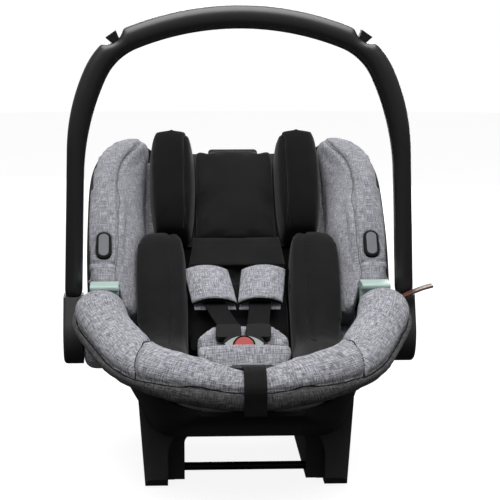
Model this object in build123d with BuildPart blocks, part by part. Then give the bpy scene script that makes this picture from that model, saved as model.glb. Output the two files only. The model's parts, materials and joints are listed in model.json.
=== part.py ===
from build123d import *
import os
from math import atan2, cos, hypot, radians, sin, tan

# Infant car seat: a rear-facing carrier with a swinging handle, a sliding headrest and a harness.
# Millimetres. X to the right seen from the foot end, +Y towards the head end, +Z up.
# The origin is on the floor, below the middle of the seat.
os.makedirs("parts", exist_ok=True)

# Shared clearances
SOFT_GAP = 0.3
RUN_GAP = 0.05
SLIDE_GAP = 0.4

# Shell: one moulded tub, floor, back and side walls in one
SHELL_WALL = 5.0
BACK_ANGLE = 47.0
BACK_FOOT_Y = 34.0
BACK_FOOT_Z = 67.0
SEAT_ANGLE = 6.0
SEAT_FOOT_Y = 5.0
LINER_THICKNESS = 22.0
KEEP_OUT = 20.0
CUT_SIZE = 700.0
SEAT_LINER_Z = 90.0
SEAT_LINER_LENGTH = 262.0
# Seat stations: floor point y, z; rim point y, z; half width at floor and rim; corner radius
SEAT_STATIONS = [
    (-290.0, 120.0, -291.0, 128.0, 60.0, 62.0, 6.0),
    (-254.0, 96.0, -260.0, 134.0, 88.0, 100.0, 18.0),
    (-215.0, 80.0, -222.0, 144.0, 105.0, 124.0, 28.0),
    (-150.0, 64.0, -156.0, 158.0, 112.0, 148.0, 40.0),
    (-66.0, 62.0, -72.0, 176.0, 118.0, 176.0, 52.0),
    (8.0, 63.0, 0.0, 186.0, 127.0, 192.0, 56.0),
]
# Turn between seat and back: height up the back, rim y, z, half widths, corner radius
TURN_STATION = (47.0, 32.0, 190.0, 140.0, 195.0, 52.0)
# Back stations: height up the back, rim height over the back, half widths, corner radius
BACK_STATIONS = [
    (118.0, 72.0, 150.0, 196.0, 42.0),
    (176.0, 74.0, 150.0, 197.5, 42.0),
    (250.0, 68.0, 148.0, 197.0, 40.0),
    (320.0, 58.0, 144.0, 191.5, 34.0),
    (372.0, 44.0, 124.0, 163.0, 24.0),
    (392.0, 34.0, 108.0, 140.0, 18.0),
]

# Base
FOOT_PROUD = 1.5
BASE_FRONT_Y = -162.0
BASE_REAR_Y = 190.0
BASE_REAR_LEAN = 6.0
BASE_HALF_FOOT = 122.0
BASE_HALF_TOP = 130.0
BASE_TOP_Z = 112.0
BASE_REAR_TOP_Z = 105.0
BASE_CREST_S = 100.0
BASE_EDGE = 10.0
ROCKER_Y = 95.0
ROCKER_RISE = 34.0
TUNNEL_HALF = 74.0
TUNNEL_TOP = 57.0
OVERCUT = 1.0
RECESS_HALF = 94.5
RECESS_DEPTH = 38.0
RECESS_SPRING_Z = 40.0
RECESS_TOP_Z = 100.0
BASE_WALL = 7.0
BAR_RADIUS = 5.0
BAR_Z = 15.0
BAR_SEAT = 22.0
FRONT_BAR_Y = -113.0
REAR_BAR_Y = 78.0
FOOT_SIZE = (30.0, 52.0)
FOOT_DEPTH = 3.0
FOOT_CORNER = 6.0
FRONT_FOOT_Y = -95.0
REAR_FOOT_Y = 62.0
SCREW_RADIUS = 3.0
SCREW_HEAD_RADIUS = 5.5
SCREW_LENGTH = 14.0
SCREW_STEP = 45.0

# Handle
HANDLE_Y = 48.0
PIVOT_Z = 150.0
GRIP_CENTRE_Z = 555.75
GRIP_THICKNESS = 28.5
LEG_THICKNESS = 20.0
HANDLE_DEPTH = 34.0
GRIP_RADIUS = 363.0
GRIP_ANGLE = 21.8
SHOULDER_RADIUS = 88.0
SHOULDER_ANGLE = 43.2
UPPER_LEG_RADIUS = 287.0
UPPER_LEG_ANGLE = 23.5
HANDLE_EDGE = 8.5
NOTCH_RADIUS = 22.0
NOTCH_DEPTH = 9.0
NOTCH_SHARE = 0.3
PEG_HEIGHT = 12.0
PEG_TOP = 8.0
PEG_FOOT = 5.0
PEG_DEPTH = 18.0
HUB_RADIUS = 39.0
HUB_INNER_X = 201.0
HUB_THICKNESS = 25.0
HUB_TOP_Z = 200.0
HUB_NECK = 38.0
HUB_EDGE = 5.0
HUB_CLEAR = 1.5
PIN_RADIUS = 8.0
BOSS_RADIUS = 22.0
BOSS_TEETH = 12
TOOTH_HEIGHT = 3.0
TOOTH_WIDTH = 4.0
TOOTH_LENGTH = 5.0
RECESS_IN_HUB = 7.0
HUB_BUTTON_RADIUS = 13.0
HUB_BUTTON_LENGTH = 8.0
HUB_BUTTON_PROUD = 1.0
HUB_SPRING_LENGTH = 5.0
HUB_SPRING_RADIUS = 10.0
SIDE_PAD_RADIUS = 42.0
SIDE_PAD_INNER_X = 160.0
SIDE_PAD_Z = 147.0
SIDE_PAD_CROWN = 14.0

# Rim cover, right half from the foot end to the arm's end: middle of each section, half width,
# height of its outer seam and of its inner edge over the middle, and crown between them
RIM_STATIONS = [
    (0.0, -283.0, 147.0, 23.0, 5.0, 16.0, 9.0),
    (66.0, -268.0, 152.0, 24.0, 3.0, 29.0, 9.0),
    (121.0, -226.0, 162.0, 26.0, -4.0, 24.0, 12.0),
    (150.0, -150.0, 171.0, 31.0, -3.0, 15.0, 16.0),
    (170.0, -88.0, 183.0, 32.0, -2.0, 10.0, 20.0),
    (179.0, -40.0, 194.0, 33.0, 0.0, 8.0, 21.0),
    (181.0, -12.0, 200.0, 24.0, 0.0, 6.0, 14.0),
]
RIM_BOTTOM = 20.0
RIM_SWELL = 2.0
RIM_DRAW = (3.0, 4.0)

# Wing covers: height up the back, height of their edge over the back, width of floor and ledge,
# and how far out they reach
WING_INNER = 116.0
WING_STEPS = [
    (119.0, 82.0, 35.0, 44.0, 196.0),
    (176.0, 86.0, 35.0, 44.0, 197.5),
    (250.0, 80.0, 33.0, 44.0, 197.0),
    (320.0, 70.0, 27.0, 42.0, 191.5),
    (358.0, 61.0, 17.0, 46.0, 176.0),
    (378.0, 50.0, 7.0, 32.0, 154.0),
]
WING_CROWN = 6.0
WING_SWELL = 3.0
WING_BUTTON_X = 175.0
WING_BUTTON_S = 176.0
WING_BUTTON_SIZE = (34.0, 13.0)
WING_BEZEL = 3.0
WING_BEZEL_DEPTH = 20.0
WING_BEZEL_PROUD = 1.0
WING_BUTTON_PROUD = 2.0
WING_BUTTON_TRAVEL = 5.0

# Cushions: share of their length and their size there
SWELL_STEPS = ((0.0, 0.9), (0.25, 0.98), (0.5, 1.0), (0.75, 0.98), (1.0, 0.9))
BACK_PAD_HALF = 66.0
PAD_SWELL = 2.0
BACK_PAD = (46.0, 206.0)
PAD_THICKNESS = 16.0
PAD_CROWN = 5.0
SEAT_PAD = (14.0, 226.0)
BOLSTER_INNER = 73.0
BOLSTER_TOP = 75.0
BOLSTER_CROWN = 7.0
# Place along the bolster, up the back or (negative) along the seat, 0 at the bight; its size there,
# and how far out its foot and its top reach
BOLSTER_STEPS = (
    (214.0, 0.72, 106.0, 122.0),
    (186.0, 0.96, 108.0, 132.0),
    (148.0, 1.0, 108.0, 134.0),
    (105.0, 1.0, 108.0, 133.0),
    (0.0, 1.0, 108.0, 128.0),
    (-70.0, 1.0, 106.0, 122.0),
    (-110.0, 0.98, 103.0, 115.0),
    (-150.0, 0.92, 98.0, 107.0),
    (-188.0, 0.74, 90.0, 95.0),
)
BIGHT = (27.0, 103.0)

# Headrest
HEAD_LOW = 216.0
HEAD_HIGH = 363.0
HEAD_PANEL_HALF = 53.0
HEAD_PLATE = 5.0
HEAD_PLATE_HALF = 104.0
HEAD_PLATE_CORNER = 14.0
HEAD_PANEL_TOP = 48.0
HEAD_PANEL_DRAW = 0.2
HEAD_WING_TOP = 84.0
HEAD_WING_CROWN = 7.0
HEAD_WING_LEAN = 5.0
HEAD_WING_HIGH = 372.0
HEAD_WING_FOOT = (56.0, 110.0)
# Share of the wing's height and its size there
HEAD_WING_STEPS = ((0.0, 0.76), (0.25, 0.96), (0.5, 1.0), (0.75, 0.99), (1.0, 0.88))
RAIL_LOW = 224.0
RAIL_HALF = 14.0
RAIL_STEM_HALF = 6.0
RAIL_FLOOR = 5.0
RAIL_HEAD = (11.0, 17.0)
RAIL_STOP = 10.0
CARRIAGE_HALF = 22.0
CARRIAGE_LENGTH = 86.0
HEAD_TRAVEL = 45.0
RAIL_HIGH = RAIL_LOW + RAIL_STOP + CARRIAGE_LENGTH + HEAD_TRAVEL
GROOVE_SIDE = 4.0
LEVER_HALF = 34.0
LEVER_HEIGHT = 16.0
LEVER_STEM = 24.0
LEVER_STEM_HALF = 20.0

# Belt guides
GUIDE_INNER_X = 155.0
GUIDE_OUTER_X = 191.0
GUIDE_Y = (4.0, 42.0)
GUIDE_Z = (152.0, 219.0)
GUIDE_SLOT = (196.0, 211.0)
GUIDE_BACK_WALL = 11.0
GUIDE_EDGE = 3.5
REAR_GUIDE_S = (222.0, 268.0)
REAR_GUIDE_HALF = 42.0
REAR_GUIDE_SLOT = 12.0
REAR_GUIDE_WALL = 5.0
TAB_ROOT_Z = 192.5
TAB_MIDDLE = (211.0, 201.5)
TAB_TIP = (232.5, 211.5)
TAB_THICKNESS = 2.5
TAB_Y = (7.0, 25.0)

# Harness
STRAP_WIDTH = 28.0
STRAP_THICKNESS = 2.4
BUCKLE_ANGLE = 58.0
BUCKLE_Y = -95.0
BUCKLE_Z = 160.0
BUCKLE_WIDTH = 50.0
BUCKLE_CORNER = 8.0
BUCKLE_REACH = (-26.0, 14.0)
BUCKLE_DEPTH = (-24.0, -2.0)
BUTTON_RADIUS = 12.4
BUTTON_PROUD = 2.0
BUTTON_LENGTH = 13.0
BUTTON_EDGE = 1.5
BUTTON_BORE = 15.0
EYE_HALF = 24.0
EYE_RISE = 4.0
EYE_HEIGHT = 14.0
EYE_PROUD = 0.8
TONGUE_INNER = 3.0
TONGUE_OUTER = 34.0
TONGUE_REACH = 17.0
TONGUE_CORNER = 4.0
TONGUE_DROP = 2.0
BLADE = (4.0, 19.0)
BLADE_DEPTH = 16.0
BLADE_THICKNESS = 2.0
# Right half of the crotch pad's outline, from its top down
CROTCH_OUTLINE = ((36.0, 37.0), (57.0, 22.0), (57.0, -11.5), (43.0, -46.0))
CROTCH_CORNER = 12.0
CROTCH_BACK = 11.0
LIP_TOP = -2.0
LIP_THICKNESS = 8.0
SHOULDER_PAD_WIDTH = 56.0
SHOULDER_PAD_THICKNESS = 6.0
SHOULDER_PAD_CAMBER = 8.0
SHOULDER_PAD_S = (157.0, 128.0, 99.0)
SHOULDER_PAD_N = (56.0, 66.0, 72.0)
# Across at the pad's top and bottom and at the tongue, left then right
STRAP_X = {"left": (-42.0, -32.0, -18.5), "right": (34.0, 27.0, 18.5)}
STRAP_EXIT_S = 210.0
STRAP_EXIT_N = (22.4, 46.3)

# Harness adjuster at the foot end
ADJUSTER_X = 3.5
ADJUSTER_WIDTH = 52.0
ADJUSTER_DEPTH = 18.0
ADJUSTER_GAP = 2.8
ADJUSTER_TOP = 168.0
ADJUSTER_BUTTON = (26.0, 8.0)
ADJUSTER_BUTTON_PROUD = 3.0
ADJUSTER_BUTTON_LENGTH = 8.0
ADJUSTER_TRAVEL = 3.0
ADJUSTER_STRAP_WIDTH = 26.0
ADJUSTER_STRAP_DROP = 6.0
STRAP_LIFT = 5.1
STRAP_FRONT_LIFT = 2.8

# Springs
WIRE_RADIUS = 0.6
SPRING_TURNS = 3

BACK = radians(BACK_ANGLE)
SEAT = radians(SEAT_ANGLE)
BUCKLE = radians(BUCKLE_ANGLE)
PAD_BASE = LINER_THICKNESS + SOFT_GAP


def save(piece, name):
    """Label one finished piece and write it."""
    piece.label = name
    export_step(piece, f"parts/{name}.step")


def save_pair(piece, name):
    """Write a right-hand piece and its mirror image."""
    save(mirror(piece, about=Plane.YZ), f"{name}_left")
    save(piece, f"{name}_right")


def on_back(s, n, x=0.0):
    """Point s up the backrest and n in front of the shell's inner face."""
    y = BACK_FOOT_Y + s * cos(BACK) - n * sin(BACK)
    z = BACK_FOOT_Z + s * sin(BACK) + n * cos(BACK)
    return (x, y, z)


def back_face(n, s=0.0):
    """Plane along the backrest: local x across, y up the back, z out of it."""
    return Plane(origin=on_back(s, n), x_dir=(1, 0, 0), z_dir=(0, -sin(BACK), cos(BACK)))


def back_section(s):
    """Plane across the backrest: local x across, y out of the back."""
    return Plane(origin=on_back(s, 0), x_dir=(1, 0, 0), z_dir=(0, -cos(BACK), -sin(BACK)))


def seat_point(t, h=0.0):
    """Point t along the seat towards the foot end and h over the foam liner."""
    y = SEAT_FOOT_Y - t * cos(SEAT) + h * sin(SEAT)
    z = SEAT_LINER_Z + t * sin(SEAT) + h * cos(SEAT)
    return (0, y, z)


def seat_section(t):
    """Plane across the seat; its local y = LINER_THICKNESS is the liner's top."""
    origin = seat_point(t, -LINER_THICKNESS)
    return Plane(origin=origin, x_dir=(1, 0, 0), z_dir=(0, -cos(SEAT), sin(SEAT)))


def seat_face(h):
    """Plane along the seat, h over the foam liner."""
    return Plane(origin=seat_point(0, h), x_dir=(1, 0, 0), z_dir=(0, sin(SEAT), cos(SEAT)))


def buckle_face_plane(depth=0.0):
    """Plane of the buckle's front: local y up along the buckle, z out of its front."""
    y = BUCKLE_Y - depth * sin(BUCKLE)
    z = BUCKLE_Z + depth * cos(BUCKLE)
    return Plane(origin=(0, y, z), x_dir=(1, 0, 0), z_dir=(0, -sin(BUCKLE), cos(BUCKLE)))


def bulge(start, end, height):
    """Edge that swells to the right of its way by height."""
    if height == 0:
        return Line(start, end)
    run = (end[0] - start[0], end[1] - start[1])
    length = hypot(*run)
    middle = (
        (start[0] + end[0]) / 2 + height * run[1] / length,
        (start[1] + end[1]) / 2 - height * run[0] / length,
    )
    return ThreePointArc(start, middle, end)


def soft_face(plane, foot, top, crown, swell, outer_swell=None):
    """Cushion section: foot (x0, x1, y), top (x0, x1, y), crowned top and swelling sides."""
    a, b = (foot[0], foot[2]), (foot[1], foot[2])
    c, d = (top[1], top[2]), (top[0], top[2])
    with BuildSketch(plane) as face:
        with BuildLine():
            Line(a, b)
            bulge(b, c, swell if outer_swell is None else outer_swell)
            bulge(c, d, crown)
            bulge(d, a, swell)
        make_face()
    return face.sketch


def stations():
    """Shell stations from the foot end to the head end, each with its plane and sizes."""
    feet = [(s[0:2], s[2:4], s[4:]) for s in SEAT_STATIONS]
    feet.append((on_back(TURN_STATION[0], -SHELL_WALL)[1:], TURN_STATION[1:3], TURN_STATION[3:]))
    for s, rim, *sizes in BACK_STATIONS:
        feet.append((on_back(s, -SHELL_WALL)[1:], on_back(s, rim)[1:], sizes))
    result = []
    for (fy, fz), (ry, rz), (floor_half, rim_half, radius) in feet:
        height = hypot(ry - fy, rz - fz)
        up = ((ry - fy) / height, (rz - fz) / height)
        plane = Plane(origin=(0, fy, fz), x_dir=(1, 0, 0), z_dir=(0, -up[1], up[0]))
        result.append((plane, height, floor_half, rim_half, radius))
    return result


def wall_line(station, outset, lift):
    """The tub's outline at one station, set out from the moulding's outer face."""
    _, height, floor_half, rim_half, radius = station
    lean = atan2(rim_half - floor_half, height)
    rim_x = rim_half + lift * tan(lean) + outset / cos(lean)
    floor_x = floor_half + outset * (1 / cos(lean) - tan(lean))
    top = height + lift
    FilletPolyline(
        (-rim_x, top), (-floor_x, -outset), (floor_x, -outset), (rim_x, top),
        radius=max(radius + outset, 1.0),
    )
    return rim_x, top


def tub_band(outset, inset, lift=0.0):
    """The tub's wall as a solid, grown outwards by outset, inwards by inset, up by lift."""
    faces = []
    for station in stations():
        with BuildSketch(station[0]) as face:
            with BuildLine():
                outer_x, top = wall_line(station, outset, lift)
                inner_x, _ = wall_line(station, -SHELL_WALL - inset, lift)
                Line((outer_x, top), (inner_x, top))
                Line((-outer_x, top), (-inner_x, top))
            make_face()
        faces.append(face.sketch)
    with BuildPart() as band:
        loft(sections=faces)
    return band.part


def tub_fill(outset, lift=0.0):
    """Everything inside the tub's outline as one solid."""
    faces = []
    for station in stations():
        with BuildSketch(station[0]) as face:
            with BuildLine():
                rim_x, top = wall_line(station, outset, lift)
                Line((rim_x, top), (-rim_x, top))
            make_face()
        faces.append(face.sketch)
    with BuildPart() as fill:
        loft(sections=faces)
    return fill.part


def coil(plane, radius, length):
    """Return spring standing on a plane, of half-turn arcs."""
    rise = (length - 2 * WIRE_RADIUS) / (2 * SPRING_TURNS)
    with BuildPart() as spring:
        with BuildLine(plane) as path:
            for half in range(2 * SPRING_TURNS):
                side = 1 if half % 2 == 0 else -1
                low = WIRE_RADIUS + half * rise
                ThreePointArc(
                    (side * radius, 0, low),
                    (0, side * radius, low + rise / 2),
                    (-side * radius, 0, low + rise),
                )
        with BuildSketch(Plane(path.line @ 0, z_dir=path.line % 0)):
            Circle(WIRE_RADIUS)
        sweep()
    return spring.part


# Shell
tub = tub_band(0, 0)
save(tub, "seat_shell")
outer_keep_out = tub_fill(SOFT_GAP)
inner_keep_out = tub_band(KEEP_OUT, SOFT_GAP, 2 * SOFT_GAP)
rim_keep_out = tub_band(SOFT_GAP, SOFT_GAP, SOFT_GAP)
cavity = tub_fill(-SHELL_WALL - SOFT_GAP)

# Foam liners under the seat and behind the back
with BuildPart() as seat_liner:
    add(cavity)
    with BuildSketch(Plane.YZ):
        with BuildLine():
            rear = (SEAT_FOOT_Y, SEAT_LINER_Z)
            front = seat_point(SEAT_LINER_LENGTH)[1:]
            Polyline(rear, front, (front[0], 0), (SEAT_FOOT_Y, 0), close=True)
        make_face()
    extrude(amount=GUIDE_OUTER_X, both=True, mode=Mode.INTERSECT)
save(seat_liner.part, "seat_liner")

with BuildPart() as back_liner:
    add(cavity)
    with BuildSketch(back_face(LINER_THICKNESS)):
        with Locations((0, (BACK_PAD[0] + RAIL_HIGH) / 2)):
            Rectangle(2 * GUIDE_OUTER_X, RAIL_HIGH - BACK_PAD[0])
    extrude(amount=-3 * LINER_THICKNESS, mode=Mode.INTERSECT)
    with BuildSketch(back_face(LINER_THICKNESS)):
        with Locations((0, (RAIL_LOW + RAIL_HIGH) / 2)):
            Rectangle(2 * (CARRIAGE_HALF + GROOVE_SIDE), RAIL_HIGH - RAIL_LOW + 2 * SOFT_GAP)
    extrude(amount=-(LINER_THICKNESS - RAIL_FLOOR), mode=Mode.SUBTRACT)
save(back_liner.part, "back_liner")

# Base: two runners joined by a front portal and a rear wall, cut to the shell
rear_top = (BASE_REAR_Y - BASE_REAR_LEAN, BASE_REAR_TOP_Z)
with BuildPart() as base_frame:
    with BuildSketch(Plane.XZ.offset(-BASE_REAR_Y)):
        with BuildLine():
            lean = (BASE_HALF_TOP - BASE_HALF_FOOT) / BASE_TOP_Z
            high = 2 * BASE_TOP_Z
            half_high = BASE_HALF_FOOT + lean * high
            Polyline(
                (-BASE_HALF_FOOT, 0), (BASE_HALF_FOOT, 0), (half_high, high), (-half_high, high),
                close=True,
            )
        make_face()
    extrude(amount=BASE_REAR_Y - BASE_FRONT_Y)
    fillet(base_frame.edges().group_by(Axis.Y)[0].sort_by(Axis.X)[0], BASE_EDGE)
    fillet(base_frame.edges().group_by(Axis.Y)[0].sort_by(Axis.X)[-1], BASE_EDGE)
    with BuildSketch(Plane.YZ):
        with BuildLine():
            Line((BASE_FRONT_Y, FOOT_PROUD + BASE_EDGE), (BASE_FRONT_Y + BASE_EDGE, FOOT_PROUD))
            Line((BASE_FRONT_Y + BASE_EDGE, FOOT_PROUD), (ROCKER_Y, FOOT_PROUD))
            rocker_end = (BASE_REAR_Y, FOOT_PROUD + ROCKER_RISE)
            TangentArc((ROCKER_Y, FOOT_PROUD), rocker_end, tangent=(1, 0))
            crest = on_back(BASE_CREST_S, LINER_THICKNESS)[1:]
            Polyline(
                rocker_end, rear_top, crest, (SEAT_FOOT_Y, BASE_TOP_Z), (BASE_FRONT_Y, BASE_TOP_Z),
                (BASE_FRONT_Y, FOOT_PROUD + BASE_EDGE),
            )
        make_face()
    extrude(amount=2 * BASE_HALF_TOP, both=True, mode=Mode.INTERSECT)
    with BuildSketch(Plane.XZ.offset(-BASE_REAR_Y - OVERCUT)):
        Rectangle(2 * TUNNEL_HALF, 2 * TUNNEL_TOP)
        fillet(vertices(), BASE_EDGE)
    extrude(amount=BASE_REAR_Y - BASE_FRONT_Y + 2 * OVERCUT, mode=Mode.SUBTRACT)
    with BuildSketch(Plane.XZ.offset(-BASE_FRONT_Y)):
        with BuildLine():
            Polyline(
                (-RECESS_HALF, RECESS_SPRING_Z), (-RECESS_HALF, -OVERCUT), (RECESS_HALF, -OVERCUT),
                (RECESS_HALF, RECESS_SPRING_Z),
            )
            EllipticalCenterArc(
                (0, RECESS_SPRING_Z), RECESS_HALF, RECESS_TOP_Z - RECESS_SPRING_Z, 0,
                arc_size=180,
            )
        make_face()
    extrude(amount=-RECESS_DEPTH, mode=Mode.SUBTRACT)
    runner_x = (TUNNEL_HALF + BASE_HALF_FOOT) / 2
    runner_width = BASE_HALF_FOOT - TUNNEL_HALF - 2 * BASE_WALL
    front_y = BASE_FRONT_Y + RECESS_DEPTH + BASE_WALL
    rear_y = rear_top[0] - 2 * BASE_WALL
    runner_floor = FOOT_PROUD + FOOT_DEPTH + BASE_WALL
    rocker_floor = FOOT_PROUD + ROCKER_RISE + BASE_WALL
    pockets = [
        (x, runner_width, front_y, ROCKER_Y, runner_floor) for x in (-runner_x, runner_x)
    ] + [
        (x, runner_width, ROCKER_Y + BASE_WALL, rear_y, rocker_floor) for x in (-runner_x, runner_x)
    ] + [(0, 2 * (TUNNEL_HALF - BASE_WALL), SEAT_FOOT_Y, rear_y, TUNNEL_TOP - OVERCUT)]
    for x, width, low_y, high_y, floor in pockets:
        with BuildSketch(Plane.XY.offset(floor)):
            with Locations((x, (low_y + high_y) / 2)):
                Rectangle(width, high_y - low_y)
        extrude(amount=2 * BASE_TOP_Z, mode=Mode.SUBTRACT)
    with BuildSketch(Plane.YZ):
        with BuildLine():
            under_crest = (crest[0], crest[1] - 2 * BASE_WALL)
            under_rear = (rear_top[0], rear_top[1] - 2 * BASE_WALL)
            Polyline(rear_top, crest, under_crest, under_rear, close=True)
        make_face()
    extrude(amount=BASE_HALF_FOOT, both=True)
    add(outer_keep_out, mode=Mode.SUBTRACT)
    for bar_y in (FRONT_BAR_Y, REAR_BAR_Y):
        with BuildSketch(Plane.YZ):
            with Locations((bar_y, BAR_Z)):
                Circle(BAR_RADIUS + RUN_GAP)
        extrude(amount=TUNNEL_HALF + BAR_SEAT, both=True, mode=Mode.SUBTRACT)
    foot_places = [(x, y) for x in (-runner_x, runner_x) for y in (FRONT_FOOT_Y, REAR_FOOT_Y)]
    with BuildSketch(Plane.XY.offset(FOOT_PROUD)):
        with Locations(*foot_places):
            RectangleRounded(*FOOT_SIZE, FOOT_CORNER)
    extrude(amount=FOOT_DEPTH, mode=Mode.SUBTRACT)
save(base_frame.part, "base_frame")

with BuildPart() as foot_pads:
    with BuildSketch(Plane.XY):
        with Locations(*foot_places):
            RectangleRounded(
                FOOT_SIZE[0] - 2 * SOFT_GAP, FOOT_SIZE[1] - 2 * SOFT_GAP, FOOT_CORNER - SOFT_GAP,
            )
    extrude(amount=FOOT_PROUD + FOOT_DEPTH)
    chamfer(foot_pads.edges().group_by(Axis.Z)[0], FOOT_PROUD / 2)
save(foot_pads.part, "foot_pads")

for name, bar_y in (("front_latch_bar", FRONT_BAR_Y), ("rear_latch_bar", REAR_BAR_Y)):
    with BuildPart() as latch_bar:
        with BuildSketch(Plane.YZ):
            with Locations((bar_y, BAR_Z)):
                Circle(BAR_RADIUS)
        extrude(amount=TUNNEL_HALF + BAR_SEAT - OVERCUT, both=True)
    save(latch_bar.part, name)

with BuildPart() as base_screws:
    screw_rows = (FRONT_BAR_Y + SCREW_STEP, REAR_BAR_Y - SCREW_STEP)
    screw_places = [(x, y) for x in (-runner_x, runner_x) for y in screw_rows]
    with BuildSketch(Plane.XY.offset(runner_floor)):
        with Locations(*screw_places):
            RegularPolygon(SCREW_HEAD_RADIUS, 6)
    extrude(amount=SCREW_RADIUS)
    with BuildSketch(Plane.XY.offset(runner_floor + SCREW_RADIUS)):
        with Locations(*screw_places):
            Circle(SCREW_RADIUS)
    extrude(amount=SCREW_LENGTH)
save(base_screws.part, "base_screws")

# Handle: bow, hubs with their pins and bosses, release buttons and springs
leg_turn = radians(GRIP_ANGLE + SHOULDER_ANGLE + UPPER_LEG_ANGLE)
shoulder_turn = radians(GRIP_ANGLE + SHOULDER_ANGLE)
taper = (LEG_THICKNESS * sin(leg_turn) - GRIP_THICKNESS * sin(shoulder_turn)) / 2
taper = taper / (sin(leg_turn) - sin(shoulder_turn))


def bow_side(offset, leg_radius):
    """Half of the bow's outline in the handle's plane, from the grip's middle to the leg's foot."""
    grip = JernArc((0, GRIP_CENTRE_Z + offset), (-1, 0), GRIP_RADIUS + offset, GRIP_ANGLE)
    shoulder = JernArc(grip @ 1, grip % 1, SHOULDER_RADIUS + offset, SHOULDER_ANGLE)
    upper = JernArc(shoulder @ 1, shoulder % 1, leg_radius, UPPER_LEG_ANGLE)
    end = upper @ 1
    foot_x = end.X - (end.Y - HUB_TOP_Z) / tan(leg_turn)
    Line(end, (foot_x, HUB_TOP_Z))
    return foot_x, shoulder @ NOTCH_SHARE


with BuildPart() as handle_bow:
    with BuildSketch(Plane.XZ.offset(-HANDLE_Y)):
        with BuildLine():
            outer_foot, notch_point = bow_side(GRIP_THICKNESS / 2, UPPER_LEG_RADIUS + taper)
            inner_foot, _ = bow_side(-GRIP_THICKNESS / 2, UPPER_LEG_RADIUS - taper)
            Line((outer_foot, HUB_TOP_Z), (inner_foot, HUB_TOP_Z))
            mirror(about=Plane.YZ)
        make_face()
    extrude(amount=HANDLE_DEPTH / 2, both=True)
    rims = handle_bow.faces().sort_by(Axis.Y)
    fillet(rims[0].edges() + rims[-1].edges() - handle_bow.faces().sort_by(Axis.Z)[0].edges()
           - handle_bow.faces().sort_by(Axis.Z)[1].edges(), HANDLE_EDGE)
    notch_angle = radians(90 + GRIP_ANGLE + NOTCH_SHARE * SHOULDER_ANGLE)
    reach = NOTCH_RADIUS - NOTCH_DEPTH
    notch_x = notch_point.X + reach * cos(notch_angle)
    notch_z = notch_point.Y + reach * sin(notch_angle)
    with BuildSketch(Plane.XZ.offset(-HANDLE_Y)):
        with Locations((notch_x, notch_z), (-notch_x, notch_z)):
            Circle(NOTCH_RADIUS)
    extrude(amount=HANDLE_DEPTH, both=True, mode=Mode.SUBTRACT)
save(handle_bow.part, "handle_bow")

with BuildPart() as canopy_pegs:
    for side in (-1, 1):
        root = (side * notch_point.X - side * NOTCH_DEPTH * cos(notch_angle),
                notch_point.Y - NOTCH_DEPTH * sin(notch_angle))
        along = (cos(notch_angle) * side, sin(notch_angle))
        across = (-along[1], along[0])
        corners = []
        peg = ((-PEG_FOOT, 0), (PEG_FOOT, 0), (PEG_TOP, PEG_HEIGHT), (-PEG_TOP, PEG_HEIGHT))
        for half, height in peg:
            x = root[0] + across[0] * half + along[0] * height
            z = root[1] + across[1] * half + along[1] * height
            corners.append((x, z))
        with BuildSketch(Plane.XZ.offset(-HANDLE_Y)):
            with BuildLine():
                Polyline(*corners, close=True)
            make_face()
        extrude(amount=PEG_DEPTH / 2, both=True)
    add(handle_bow.part, mode=Mode.SUBTRACT)
save(canopy_pegs.part, "canopy_pegs")

hub_face = HUB_INNER_X + HUB_THICKNESS
button_floor = hub_face + HUB_BUTTON_PROUD - HUB_BUTTON_LENGTH - HUB_SPRING_LENGTH
pivot = (HANDLE_Y, PIVOT_Z)


def disc(start_x, radius, length, mode=Mode.ADD):
    """Round body on the handle's pivot line, growing outwards from start_x."""
    with BuildSketch(Plane.YZ.offset(start_x)) as face:
        with Locations(pivot):
            Circle(radius)
    return extrude(face.sketch, amount=length, dir=(1, 0, 0), mode=mode)


with BuildPart() as handle_hub:
    with BuildSketch(Plane.YZ.offset(HUB_INNER_X)):
        with Locations(pivot):
            Circle(HUB_RADIUS)
        with Locations((HANDLE_Y, HUB_TOP_Z - HUB_EDGE)):
            Rectangle(HUB_NECK, 2 * HUB_EDGE)
        make_hull()
    extrude(amount=HUB_THICKNESS)
    outline = handle_hub.faces().sort_by(Axis.X)[-1].edges()
    fillet(outline - outline.sort_by(Axis.Z)[-1:], HUB_EDGE)
    disc(HUB_INNER_X, BOSS_RADIUS + TOOTH_HEIGHT + SLIDE_GAP, RECESS_IN_HUB, Mode.SUBTRACT)
    disc(HUB_INNER_X, PIN_RADIUS + RUN_GAP, HUB_THICKNESS, Mode.SUBTRACT)
    disc(button_floor, HUB_BUTTON_RADIUS + SLIDE_GAP, HUB_THICKNESS, Mode.SUBTRACT)
save_pair(handle_hub.part, "handle_hub")

boss_end = HUB_INNER_X + RECESS_IN_HUB - SLIDE_GAP
with BuildPart() as pivot_boss:
    disc(BASE_HALF_TOP, BOSS_RADIUS, boss_end - BASE_HALF_TOP)
    with BuildSketch(Plane.YZ.offset(boss_end - TOOTH_LENGTH)):
        with Locations(pivot):
            with PolarLocations(BOSS_RADIUS, BOSS_TEETH):
                Rectangle(2 * TOOTH_HEIGHT, TOOTH_WIDTH)
    extrude(amount=TOOTH_LENGTH)
    disc(BASE_HALF_TOP, PIN_RADIUS, HUB_THICKNESS + HUB_INNER_X, Mode.SUBTRACT)
    add(outer_keep_out, mode=Mode.SUBTRACT)
save_pair(pivot_boss.part, "pivot_boss")

with BuildPart() as pivot_pin:
    pin_start = HUB_INNER_X - 4 * PIN_RADIUS
    disc(pin_start, PIN_RADIUS, button_floor - SLIDE_GAP - pin_start)
    add(outer_keep_out, mode=Mode.SUBTRACT)
save_pair(pivot_pin.part, "pivot_pin")

with BuildPart() as hub_button:
    disc(button_floor + HUB_SPRING_LENGTH, HUB_BUTTON_RADIUS, HUB_BUTTON_LENGTH)
    fillet(hub_button.faces().sort_by(Axis.X)[-1].edges(), HUB_BUTTON_PROUD)
save_pair(hub_button.part, "hub_button")

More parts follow.
